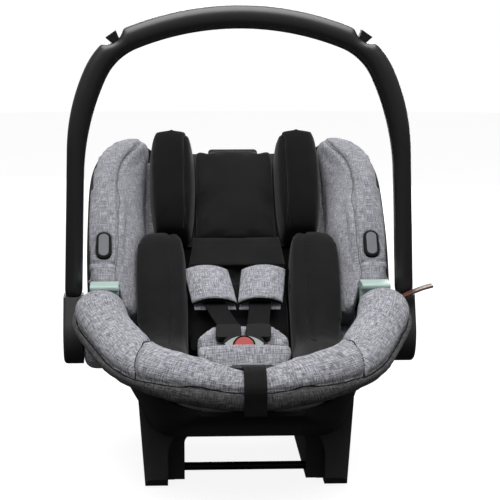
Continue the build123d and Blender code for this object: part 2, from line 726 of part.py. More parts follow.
spring_plane = Plane(origin=(button_floor, *pivot), x_dir=(0, 1, 0), z_dir=(1, 0, 0))
save_pair(coil(spring_plane, HUB_SPRING_RADIUS, HUB_SPRING_LENGTH), "hub_spring")

with BuildPart() as side_pad:
    with BuildSketch(Plane.YZ.offset(SIDE_PAD_INNER_X)):
        with Locations((HANDLE_Y, SIDE_PAD_Z)):
            Circle(SIDE_PAD_RADIUS)
    extrude(amount=HUB_INNER_X - HUB_CLEAR - SIDE_PAD_INNER_X)
    fillet(side_pad.faces().sort_by(Axis.X)[-1].edges(), SIDE_PAD_CROWN)
    disc(BASE_HALF_TOP, BOSS_RADIUS + SOFT_GAP, HUB_INNER_X, Mode.SUBTRACT)
    add(tub_fill(SOFT_GAP, SIDE_PAD_RADIUS), mode=Mode.SUBTRACT)
save_pair(side_pad.part, "side_pad")


# Rim cover: a padded roll round the foot end and both arms, grooved for the shell's rim
def rim_faces():
    """Sections of the rim cover from the left arm's end to the right arm's end."""
    left = [(-x, *rest) for x, *rest in reversed(RIM_STATIONS[1:])]
    whole = left + RIM_STATIONS
    points = [Vector(*station[:3]) for station in whole]
    faces = []
    for i, (point, station) in enumerate(zip(points, whole)):
        half, seam, inner_top, crown = station[3:]
        before, after = points[max(i - 1, 0)], points[min(i + 1, len(points) - 1)]
        way = (after - before).normalized()
        outward = way.cross(Vector(0, 0, 1)).normalized()
        with BuildSketch(Plane(origin=point, x_dir=outward, z_dir=-way)) as face:
            with BuildLine():
                a, b = (-half + RIM_DRAW[0], -RIM_BOTTOM), (half - RIM_DRAW[1], -RIM_BOTTOM)
                c, d = (half, seam), (-half, inner_top)
                Line(a, b)
                bulge(b, c, RIM_SWELL)
                bulge(c, d, crown)
                bulge(d, a, RIM_SWELL)
            make_face()
        faces.append(face.sketch)
    return faces


with BuildPart() as front_rim_pad:
    loft(sections=rim_faces())
    add(rim_keep_out, mode=Mode.SUBTRACT)
save(front_rim_pad.part, "front_rim_pad")

# Wing covers with their buttons
with BuildPart() as wing_pad:
    wing_faces = []
    for s, edge, floor, ledge, outer in WING_STEPS:
        foot = (WING_INNER, WING_INNER + floor, PAD_BASE)
        wing_faces.append(
            soft_face(back_section(s), foot, (outer - ledge, outer, edge), WING_CROWN, WING_SWELL, 0)
        )
    loft(sections=wing_faces)
    bezel_top = WING_STEPS[1][1] + WING_CROWN
    with BuildSketch(back_face(bezel_top - WING_BEZEL_DEPTH, WING_BUTTON_S)):
        with Locations((WING_BUTTON_X, 0)):
            SlotOverall(
                WING_BUTTON_SIZE[0] + 2 * (WING_BEZEL + SOFT_GAP),
                WING_BUTTON_SIZE[1] + 2 * (WING_BEZEL + SOFT_GAP), rotation=90,
            )
    extrude(amount=2 * WING_BEZEL_DEPTH, mode=Mode.SUBTRACT)
save_pair(wing_pad.part, "wing_pad")


def wing_slot(depth, grow, length, mode=Mode.ADD):
    """Capsule on the wing, depth below its crown, grown all round, growing outwards by length."""
    with BuildSketch(back_face(bezel_top - depth, WING_BUTTON_S)) as face:
        with Locations((WING_BUTTON_X, 0)):
            SlotOverall(WING_BUTTON_SIZE[0] + 2 * grow, WING_BUTTON_SIZE[1] + 2 * grow, rotation=90)
    return extrude(face.sketch, amount=length, mode=mode)


with BuildPart() as wing_bezel:
    wing_slot(WING_BEZEL_DEPTH - SOFT_GAP, WING_BEZEL, WING_BEZEL_DEPTH + WING_BEZEL_PROUD)
    wing_slot(WING_BEZEL_DEPTH - WING_BEZEL - SOFT_GAP, SLIDE_GAP, WING_BEZEL_DEPTH, Mode.SUBTRACT)
save_pair(wing_bezel.part, "wing_bezel")

with BuildPart() as wing_button:
    button_root = WING_BEZEL_DEPTH - WING_BEZEL - WING_BUTTON_TRAVEL - 2 * SLIDE_GAP
    wing_slot(button_root, 0, button_root + WING_BUTTON_PROUD)
save_pair(wing_button.part, "wing_button")



# Cushions of the seat and back
def cushion_faces(section, ends, inner, outer, height, crown):
    """Sections of a cushion drawn in at both ends, from inner to outer at its foot."""
    faces = []
    for share, size in SWELL_STEPS:
        plane = section(ends[0] + share * (ends[1] - ends[0]))
        draw = (1 - size) * (outer - inner) / 2
        high = PAD_BASE + height * size
        foot = (inner + draw, outer - draw, PAD_BASE)
        top = (foot[0] - PAD_SWELL, foot[1] + PAD_SWELL, high)
        faces.append(soft_face(plane, foot, top, crown * size, PAD_SWELL))
    return faces


with BuildPart() as back_cushion:
    loft(sections=cushion_faces(
        back_section, BACK_PAD, -BACK_PAD_HALF, BACK_PAD_HALF, PAD_THICKNESS, PAD_CROWN,
    ))
save(back_cushion.part, "back_cushion")


def ribbon_faces(points, width, thickness):
    """Sections of flat webbing, width across X, one at each point."""
    ways = [Vector(*b) - Vector(*a) for a, b in zip(points, points[1:])]
    faces = []
    for i, point in enumerate(points):
        way = (ways[max(i - 1, 0)].normalized() + ways[min(i, len(ways) - 1)].normalized())
        flat = Vector(0, way.Y, way.Z).normalized()
        with BuildSketch(Plane(origin=point, x_dir=(1, 0, 0), z_dir=flat)) as face:
            Rectangle(width, thickness)
        faces.append(face.sketch)
    return faces


def ribbon(faces):
    """Flat webbing through its sections."""
    with BuildPart() as band:
        loft(sections=faces, ruled=True)
    return band.part


def in_buckle(x, y, depth):
    """Point of the buckle's own frame in the part's frame."""
    return tuple(buckle_face_plane(depth).from_local_coords((x, y, 0)))


strap_depth = (BUCKLE_DEPTH[0] + BUCKLE_DEPTH[1]) / 2
crotch_strap_points = [in_buckle(0, BUCKLE_REACH[0] - SOFT_GAP, strap_depth)]
root = Vector(*crotch_strap_points[0])
drop = root.Z - SEAT_LINER_Z - (SEAT_FOOT_Y - root.Y) * tan(SEAT)
drop = drop / (sin(BUCKLE) + cos(BUCKLE) * tan(SEAT))
crotch_strap_points.append(in_buckle(0, BUCKLE_REACH[0] - drop + STRAP_THICKNESS, strap_depth))
crotch_strap = ribbon(ribbon_faces(crotch_strap_points, STRAP_WIDTH, STRAP_THICKNESS))
save(crotch_strap, "crotch_strap")
slot_ends = (BUCKLE_REACH[0] + OVERCUT, BUCKLE_REACH[0] - 2 * drop)
slot_points = [in_buckle(0, end, strap_depth) for end in slot_ends]
crotch_slot = ribbon(
    ribbon_faces(slot_points, STRAP_WIDTH + 2 * SLIDE_GAP, STRAP_THICKNESS + 4 * SLIDE_GAP)
)

with BuildPart() as seat_cushion:
    loft(sections=cushion_faces(
        seat_section, SEAT_PAD, -BACK_PAD_HALF, BACK_PAD_HALF, PAD_THICKNESS, PAD_CROWN,
    ))
    add(crotch_slot, mode=Mode.SUBTRACT)
save(seat_cushion.part, "seat_cushion")

# Side bolsters: one padded roll from the back down round the bight and along the seat
with BuildPart() as bolster:
    bolster_faces = []
    for place, size, foot_x, top_x in BOLSTER_STEPS:
        if place > 0:
            plane = back_section(place)
        elif place < 0:
            plane = seat_section(-place)
        else:
            turn = (BACK - SEAT) / 2
            middle = (0, BIGHT[0] + PAD_BASE * sin(turn), BIGHT[1] - PAD_BASE * cos(turn))
            plane = Plane(origin=middle, x_dir=(1, 0, 0), z_dir=(0, -cos(turn), -sin(turn)))
        inner = BOLSTER_INNER + (1 - size) * (foot_x - BOLSTER_INNER) / 2
        high = PAD_BASE + (BOLSTER_TOP - PAD_BASE) * size
        foot = (inner, foot_x, PAD_BASE)
        bolster_faces.append(soft_face(plane, foot, (inner, top_x, high), BOLSTER_CROWN * size, PAD_SWELL))
    loft(sections=bolster_faces)
    add(seat_liner.part, mode=Mode.SUBTRACT)
    add(back_liner.part, mode=Mode.SUBTRACT)
save_pair(bolster.part, "bolster")

# Headrest: a plate on a rail, a centre panel, two wings and a lever
plate_back = LINER_THICKNESS + SLIDE_GAP
plate_front = plate_back + HEAD_PLATE
with BuildPart() as headrest_rail:
    for half, low, high, ends in (
        (RAIL_STEM_HALF, RAIL_FLOOR, RAIL_HEAD[0], (RAIL_LOW, RAIL_HIGH)),
        (RAIL_HALF, RAIL_HEAD[0], RAIL_HEAD[1], (RAIL_LOW, RAIL_HIGH)),
        (CARRIAGE_HALF, RAIL_FLOOR, RAIL_HEAD[1], (RAIL_LOW, RAIL_LOW + RAIL_STOP)),
    ):
        with BuildSketch(back_face(low)):
            with Locations((0, (ends[0] + ends[1]) / 2)):
                Rectangle(2 * half, ends[1] - ends[0])
        extrude(amount=high - low)
save(headrest_rail.part, "headrest_rail")

carriage_low = RAIL_LOW + RAIL_STOP + SOFT_GAP
with BuildPart() as headrest_frame:
    with BuildSketch(back_face(plate_back)):
        with Locations((0, (HEAD_LOW + HEAD_HIGH) / 2)):
            RectangleRounded(2 * HEAD_PLATE_HALF, HEAD_HIGH - HEAD_LOW, HEAD_PLATE_CORNER)
    extrude(amount=HEAD_PLATE)
    with BuildSketch(back_face(RAIL_FLOOR + 2 * SLIDE_GAP)):
        with Locations((0, carriage_low + CARRIAGE_LENGTH / 2)):
            Rectangle(2 * CARRIAGE_HALF, CARRIAGE_LENGTH)
    extrude(amount=plate_back - RAIL_FLOOR - 2 * SLIDE_GAP)
    for half, low, high in (
        (RAIL_STEM_HALF + SLIDE_GAP, RAIL_FLOOR, RAIL_HEAD[0]),
        (RAIL_HALF + SLIDE_GAP, RAIL_HEAD[0] - SLIDE_GAP, RAIL_HEAD[1] + SLIDE_GAP),
    ):
        with BuildSketch(back_face(low)):
            with Locations((0, carriage_low + CARRIAGE_LENGTH / 2)):
                Rectangle(2 * half, 2 * CARRIAGE_LENGTH)
        extrude(amount=high - low, mode=Mode.SUBTRACT)
    with BuildSketch(back_face(plate_back)):
        with Locations((0, HEAD_HIGH - LEVER_STEM / 2)):
            Rectangle(2 * (LEVER_STEM_HALF + SLIDE_GAP), LEVER_STEM)
    extrude(amount=HEAD_PLATE, mode=Mode.SUBTRACT)
save(headrest_frame.part, "headrest_frame")

with BuildPart() as headrest_lever:
    with BuildSketch(back_face(plate_back)):
        with Locations((0, HEAD_HIGH + SOFT_GAP + LEVER_HEIGHT / 2)):
            RectangleRounded(2 * LEVER_HALF, LEVER_HEIGHT, LEVER_HEIGHT / 3)
        with Locations((0, HEAD_HIGH + SOFT_GAP + LEVER_HEIGHT / 2 - LEVER_STEM / 2)):
            Rectangle(2 * LEVER_STEM_HALF, LEVER_STEM)
    extrude(amount=HEAD_PLATE)
save(headrest_lever.part, "headrest_lever")

pad_foot = plate_front + SOFT_GAP
with BuildPart() as headrest_cushion:
    panel_faces = []
    for share, size in SWELL_STEPS:
        half = HEAD_PANEL_HALF * (1 - HEAD_PANEL_DRAW * (1 - size))
        high = pad_foot + (HEAD_PANEL_TOP - pad_foot) * size
        plane = back_section(HEAD_LOW + share * (HEAD_HIGH - HEAD_LOW))
        panel_faces.append(soft_face(plane, (-half, half, pad_foot), (-half, half, high), PAD_CROWN, PAD_SWELL / 2))
    loft(sections=panel_faces)
save(headrest_cushion.part, "headrest_cushion")

with BuildPart() as headrest_wing:
    head_faces = []
    inner, outer = HEAD_WING_FOOT
    for share, size in HEAD_WING_STEPS:
        draw = (1 - size) * (outer - inner) / 2
        high = pad_foot + (HEAD_WING_TOP - pad_foot) * size
        plane = back_section(HEAD_LOW + share * (HEAD_WING_HIGH - HEAD_LOW))
        foot = (inner + draw, outer - draw, pad_foot)
        top = (inner + draw + HEAD_WING_LEAN, outer - draw, high)
        head_faces.append(soft_face(plane, foot, top, HEAD_WING_CROWN * size, PAD_SWELL))
    loft(sections=head_faces)
save_pair(headrest_wing.part, "headrest_wing")

# Belt guides at the arms and on the back, and the leather tab on the right-hand guide
with BuildPart() as belt_guide:
    with BuildSketch(Plane.YZ.offset(GUIDE_INNER_X)):
        with BuildLine():
            wall_y = GUIDE_Y[1] - GUIDE_BACK_WALL
            Polyline(
                (GUIDE_Y[0], GUIDE_Z[0]), (GUIDE_Y[1], GUIDE_Z[0]), (GUIDE_Y[1], GUIDE_Z[1]),
                (GUIDE_Y[0], GUIDE_Z[1]), (GUIDE_Y[0], GUIDE_SLOT[1]), (wall_y, GUIDE_SLOT[1]),
                (wall_y, GUIDE_SLOT[0]), (GUIDE_Y[0], GUIDE_SLOT[0]), close=True,
            )
        make_face()
        fillet(vertices(), GUIDE_EDGE)
    extrude(amount=GUIDE_OUTER_X - GUIDE_INNER_X)
    add(inner_keep_out, mode=Mode.SUBTRACT)
save_pair(belt_guide.part, "belt_guide")

with BuildPart() as rear_belt_guide:
    with BuildSketch(Plane.YZ):
        with BuildLine():
            n0 = -SHELL_WALL - SOFT_GAP
            n1, n2 = n0 - REAR_GUIDE_WALL, n0 - REAR_GUIDE_WALL - REAR_GUIDE_SLOT
            n3 = n2 - REAR_GUIDE_WALL
            s0, s1 = REAR_GUIDE_S
            outline = ((s0, n0), (s1, n0), (s1, n1), (s0 + REAR_GUIDE_WALL, n1),
                       (s0 + REAR_GUIDE_WALL, n2), (s1, n2), (s1, n3), (s0, n3))
            Polyline(*[on_back(s, n)[1:] for s, n in outline], close=True)
        make_face()
    extrude(amount=REAR_GUIDE_HALF, both=True)
save(rear_belt_guide.part, "rear_belt_guide")

with BuildPart() as pull_tab:
    with BuildSketch(Plane.XZ.offset(-TAB_Y[1])):
        with BuildLine():
            root_x = GUIDE_OUTER_X + SOFT_GAP
            low = [(root_x, TAB_ROOT_Z), TAB_MIDDLE, TAB_TIP]
            high = [(x, z + TAB_THICKNESS) for x, z in low]
            ThreePointArc(*low)
            Line(low[2], high[2])
            ThreePointArc(*reversed(high))
            Line(high[0], low[0])
        make_face()
    extrude(amount=TAB_Y[1] - TAB_Y[0])
save(pull_tab.part, "pull_tab")

# Buckle with its button, face plate and spring
with BuildPart() as buckle_housing:
    with BuildSketch(buckle_face_plane(BUCKLE_DEPTH[0])):
        with Locations((0, sum(BUCKLE_REACH) / 2)):
            RectangleRounded(BUCKLE_WIDTH, BUCKLE_REACH[1] - BUCKLE_REACH[0], BUCKLE_CORNER)
    extrude(amount=BUCKLE_DEPTH[1] - BUCKLE_DEPTH[0])
    with BuildSketch(buckle_face_plane(BUCKLE_DEPTH[1])):
        Circle(BUTTON_RADIUS + SLIDE_GAP)
    extrude(amount=-BUTTON_BORE, mode=Mode.SUBTRACT)
    blade_depth = BUCKLE_DEPTH[1] - BUTTON_BORE - 2 * BLADE_THICKNESS
    with BuildSketch(buckle_face_plane(blade_depth - SLIDE_GAP)):
        with Locations((0, BUCKLE_REACH[1])):
            Rectangle(2 * (BLADE[1] + SLIDE_GAP), 2 * (BLADE_DEPTH + OVERCUT))
    extrude(amount=BLADE_THICKNESS + 2 * SLIDE_GAP, mode=Mode.SUBTRACT)
save(buckle_housing.part, "buckle_housing")

with BuildPart() as buckle_plate:
    with BuildSketch(buckle_face_plane(BUCKLE_DEPTH[1])):
        with BuildLine():
            ThreePointArc((-EYE_HALF, EYE_RISE), (0, EYE_HEIGHT), (EYE_HALF, EYE_RISE))
            ThreePointArc((-EYE_HALF, EYE_RISE), (0, -EYE_HEIGHT), (EYE_HALF, EYE_RISE))
        make_face()
        Circle(BUTTON_RADIUS + SLIDE_GAP, mode=Mode.SUBTRACT)
    extrude(amount=EYE_PROUD - BUCKLE_DEPTH[1])
save(buckle_plate.part, "buckle_plate")

with BuildPart() as buckle_button:
    with BuildSketch(buckle_face_plane(BUTTON_PROUD - BUTTON_LENGTH)):
        Circle(BUTTON_RADIUS)
    extrude(amount=BUTTON_LENGTH)
    fillet(buckle_button.edges().sort_by(Axis.Y)[0], BUTTON_EDGE)
save(buckle_button.part, "buckle_button")

bore_floor = BUCKLE_DEPTH[1] - BUTTON_BORE
buckle_spring = coil(
    buckle_face_plane(bore_floor), PIN_RADIUS, BUTTON_PROUD - BUTTON_LENGTH - bore_floor,
)
save(buckle_spring, "buckle_spring")

with BuildPart() as tongue:
    body_low = BUCKLE_REACH[1] + SOFT_GAP
    with BuildSketch(buckle_face_plane(BUCKLE_DEPTH[0])):
        with Locations(((TONGUE_INNER + TONGUE_OUTER) / 2, body_low + TONGUE_REACH / 2)):
            RectangleRounded(TONGUE_OUTER - TONGUE_INNER, TONGUE_REACH, TONGUE_CORNER)
    extrude(amount=BUCKLE_DEPTH[1] - BUCKLE_DEPTH[0] - TONGUE_DROP)
    with BuildSketch(buckle_face_plane(blade_depth)):
        with Locations(((BLADE[0] + BLADE[1]) / 2, body_low - BLADE_DEPTH / 2)):
            Rectangle(BLADE[1] - BLADE[0], BLADE_DEPTH + OVERCUT)
    extrude(amount=BLADE_THICKNESS)
save_pair(tongue.part, "tongue")

# Crotch pad: a shield behind the buckle with a pocket over its lower half
seat_top = PAD_BASE + PAD_THICKNESS + PAD_CROWN + SOFT_GAP - LINER_THICKNESS
with BuildPart() as crotch_pad:
    pocket_floor = BUCKLE_DEPTH[0] - SOFT_GAP
    lip_inner = BUTTON_PROUD + 2 * SOFT_GAP
    for depth, height, cut in (
        (pocket_floor - CROTCH_BACK, CROTCH_BACK, CROTCH_OUTLINE[0][1]),
        (pocket_floor, lip_inner + LIP_THICKNESS - pocket_floor, LIP_TOP),
    ):
        with BuildSketch(buckle_face_plane(depth)):
            with BuildLine():
                left = [(-x, y) for x, y in reversed(CROTCH_OUTLINE)]
                Polyline(*CROTCH_OUTLINE, *left, close=True)
            make_face()
            fillet(vertices(), CROTCH_CORNER)
            with Locations((0, cut + CUT_SIZE / 2)):
                Rectangle(CUT_SIZE, CUT_SIZE, mode=Mode.SUBTRACT)
        extrude(amount=height)
    with BuildSketch(buckle_face_plane(pocket_floor)):
        with Locations((0, BUCKLE_REACH[0] - SLIDE_GAP + BUCKLE_WIDTH)):
            Rectangle(BUCKLE_WIDTH + 2 * SLIDE_GAP, 2 * BUCKLE_WIDTH)
    extrude(amount=lip_inner - pocket_floor, mode=Mode.SUBTRACT)
    with BuildSketch(seat_face(seat_top)):
        Rectangle(CUT_SIZE, CUT_SIZE)
    extrude(amount=-CUT_SIZE, mode=Mode.SUBTRACT)
    add(crotch_slot, mode=Mode.SUBTRACT)
save(crotch_pad.part, "crotch_pad")

# Shoulder straps and pads
for side, (top_x, low_x, tongue_x) in STRAP_X.items():
    offset = SOFT_GAP + STRAP_THICKNESS / 2
    heights = [n - offset for n in SHOULDER_PAD_N]
    middle_x = (top_x + low_x) / 2
    strap_points = [
        on_back(STRAP_EXIT_S + OVERCUT, STRAP_EXIT_N[0], top_x),
        on_back(STRAP_EXIT_S, STRAP_EXIT_N[1], top_x),
        on_back(SHOULDER_PAD_S[0], heights[0], top_x),
        on_back(SHOULDER_PAD_S[1], heights[1], middle_x),
        on_back(SHOULDER_PAD_S[2], heights[2], low_x),
    ]
    tongue_top = BUCKLE_REACH[1] + TONGUE_REACH + STRAP_THICKNESS / 2 + SOFT_GAP
    strap_points.append(in_buckle(tongue_x, tongue_top, strap_depth))
    strap_faces = ribbon_faces(strap_points, STRAP_WIDTH, STRAP_THICKNESS)
    save(ribbon(strap_faces[:-1]), f"shoulder_strap_{side}")
    save(ribbon(strap_faces[-2:]), f"tongue_strap_{side}")
    pad_faces = []
    for s, n, x in zip(SHOULDER_PAD_S, SHOULDER_PAD_N, (top_x, middle_x, low_x)):
        half = SHOULDER_PAD_WIDTH / 2
        with BuildSketch(back_section(s)) as face:
            with BuildLine():
                edge = n - SHOULDER_PAD_CAMBER + STRAP_THICKNESS
                left, right = x - half, x + half
                ThreePointArc((left, edge), (x, n + STRAP_THICKNESS), (right, edge))
                Line((right, edge), (right, edge + SHOULDER_PAD_THICKNESS))
                crest = n + STRAP_THICKNESS + SHOULDER_PAD_THICKNESS
                upper = edge + SHOULDER_PAD_THICKNESS
                ThreePointArc((right, upper), (x, crest), (left, upper))
                Line((left, upper), (left, edge))
            make_face()
        pad_faces.append(face.sketch)
    with BuildPart() as shoulder_pad:
        loft(sections=pad_faces)
    save(shoulder_pad.part, f"shoulder_pad_{side}")

# Harness adjuster and its pull strap over the rim
_, rim_mid_y, rim_mid_z, rim_half, rim_seam, rim_inner, rim_crown = RIM_STATIONS[0]
adjuster_y = rim_mid_y + rim_half + RIM_SWELL + ADJUSTER_GAP + ADJUSTER_DEPTH / 2
with BuildPart() as adjuster_housing:
    with BuildSketch(Plane.XY.offset(ADJUSTER_TOP)):
        with Locations((ADJUSTER_X, adjuster_y)):
            SlotOverall(ADJUSTER_WIDTH, ADJUSTER_DEPTH)
    extrude(amount=-ADJUSTER_TOP)
    with BuildSketch(seat_face(SOFT_GAP)):
        Rectangle(CUT_SIZE, CUT_SIZE)
    extrude(amount=-CUT_SIZE, mode=Mode.SUBTRACT)
    with BuildSketch(Plane.XY.offset(ADJUSTER_TOP)):
        with Locations((ADJUSTER_X, adjuster_y)):
            SlotOverall(ADJUSTER_BUTTON[0] + 2 * SLIDE_GAP, ADJUSTER_BUTTON[1] + 2 * SLIDE_GAP)
    extrude(amount=-ADJUSTER_BUTTON_LENGTH, mode=Mode.SUBTRACT)
save(adjuster_housing.part, "adjuster_housing")

with BuildPart() as adjuster_button:
    button_low = ADJUSTER_TOP - ADJUSTER_BUTTON_LENGTH + ADJUSTER_TRAVEL + SLIDE_GAP
    with BuildSketch(Plane.XY.offset(button_low)):
        with Locations((ADJUSTER_X, adjuster_y)):
            SlotOverall(*ADJUSTER_BUTTON)
    extrude(amount=ADJUSTER_TOP + ADJUSTER_BUTTON_PROUD - button_low)
save(adjuster_button.part, "adjuster_button")


def circle_middle(a, b, c):
    """Middle of the circle through three points."""
    (ax, ay), (bx, by), (cx, cy) = a, b, c
    d = 2 * (ax * (by - cy) + bx * (cy - ay) + cx * (ay - by))
    a2, b2, c2 = ax * ax + ay * ay, bx * bx + by * by, cx * cx + cy * cy
    return (
        (a2 * (by - cy) + b2 * (cy - ay) + c2 * (ay - by)) / d,
        (a2 * (cx - bx) + b2 * (ax - cx) + c2 * (bx - ax)) / d,
    )


outer_seam = (rim_mid_y - rim_half, rim_mid_z + rim_seam)
inner_top = (rim_mid_y + rim_half, rim_mid_z + rim_inner)
run = (inner_top[0] - outer_seam[0], inner_top[1] - outer_seam[1])
crest = (
    (inner_top[0] + outer_seam[0]) / 2 - rim_crown * run[1] / hypot(*run),
    (inner_top[1] + outer_seam[1]) / 2 + rim_crown * run[0] / hypot(*run),
)
centre = circle_middle(outer_seam, crest, inner_top)


def lifted(point, amount):
    """Point moved away from the rim's arc by amount."""
    away = (point[0] - centre[0], point[1] - centre[1])
    length = hypot(*away)
    return (point[0] + amount * away[0] / length, point[1] + amount * away[1] / length)


with BuildPart() as adjuster_strap:
    under, over = STRAP_LIFT, STRAP_LIFT + STRAP_THICKNESS
    front_under = lifted(outer_seam, STRAP_FRONT_LIFT)
    front_over = lifted(outer_seam, STRAP_FRONT_LIFT + STRAP_THICKNESS)
    strap_end_z = rim_mid_z - RIM_BOTTOM - ADJUSTER_STRAP_DROP
    with BuildSketch(Plane.YZ.offset(ADJUSTER_X - ADJUSTER_STRAP_WIDTH / 2)):
        with BuildLine():
            ThreePointArc(lifted(inner_top, under), lifted(crest, under), front_under)
            low_in = (front_under[0] - SLIDE_GAP, strap_end_z)
            low_out = (low_in[0] - STRAP_THICKNESS, strap_end_z)
            Polyline(front_under, low_in, low_out, front_over)
            ThreePointArc(front_over, lifted(crest, over), lifted(inner_top, over))
            Line(lifted(inner_top, over), lifted(inner_top, under))
        make_face()
    extrude(amount=ADJUSTER_STRAP_WIDTH)
save(adjuster_strap.part, "adjuster_strap")
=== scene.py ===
import json
import math

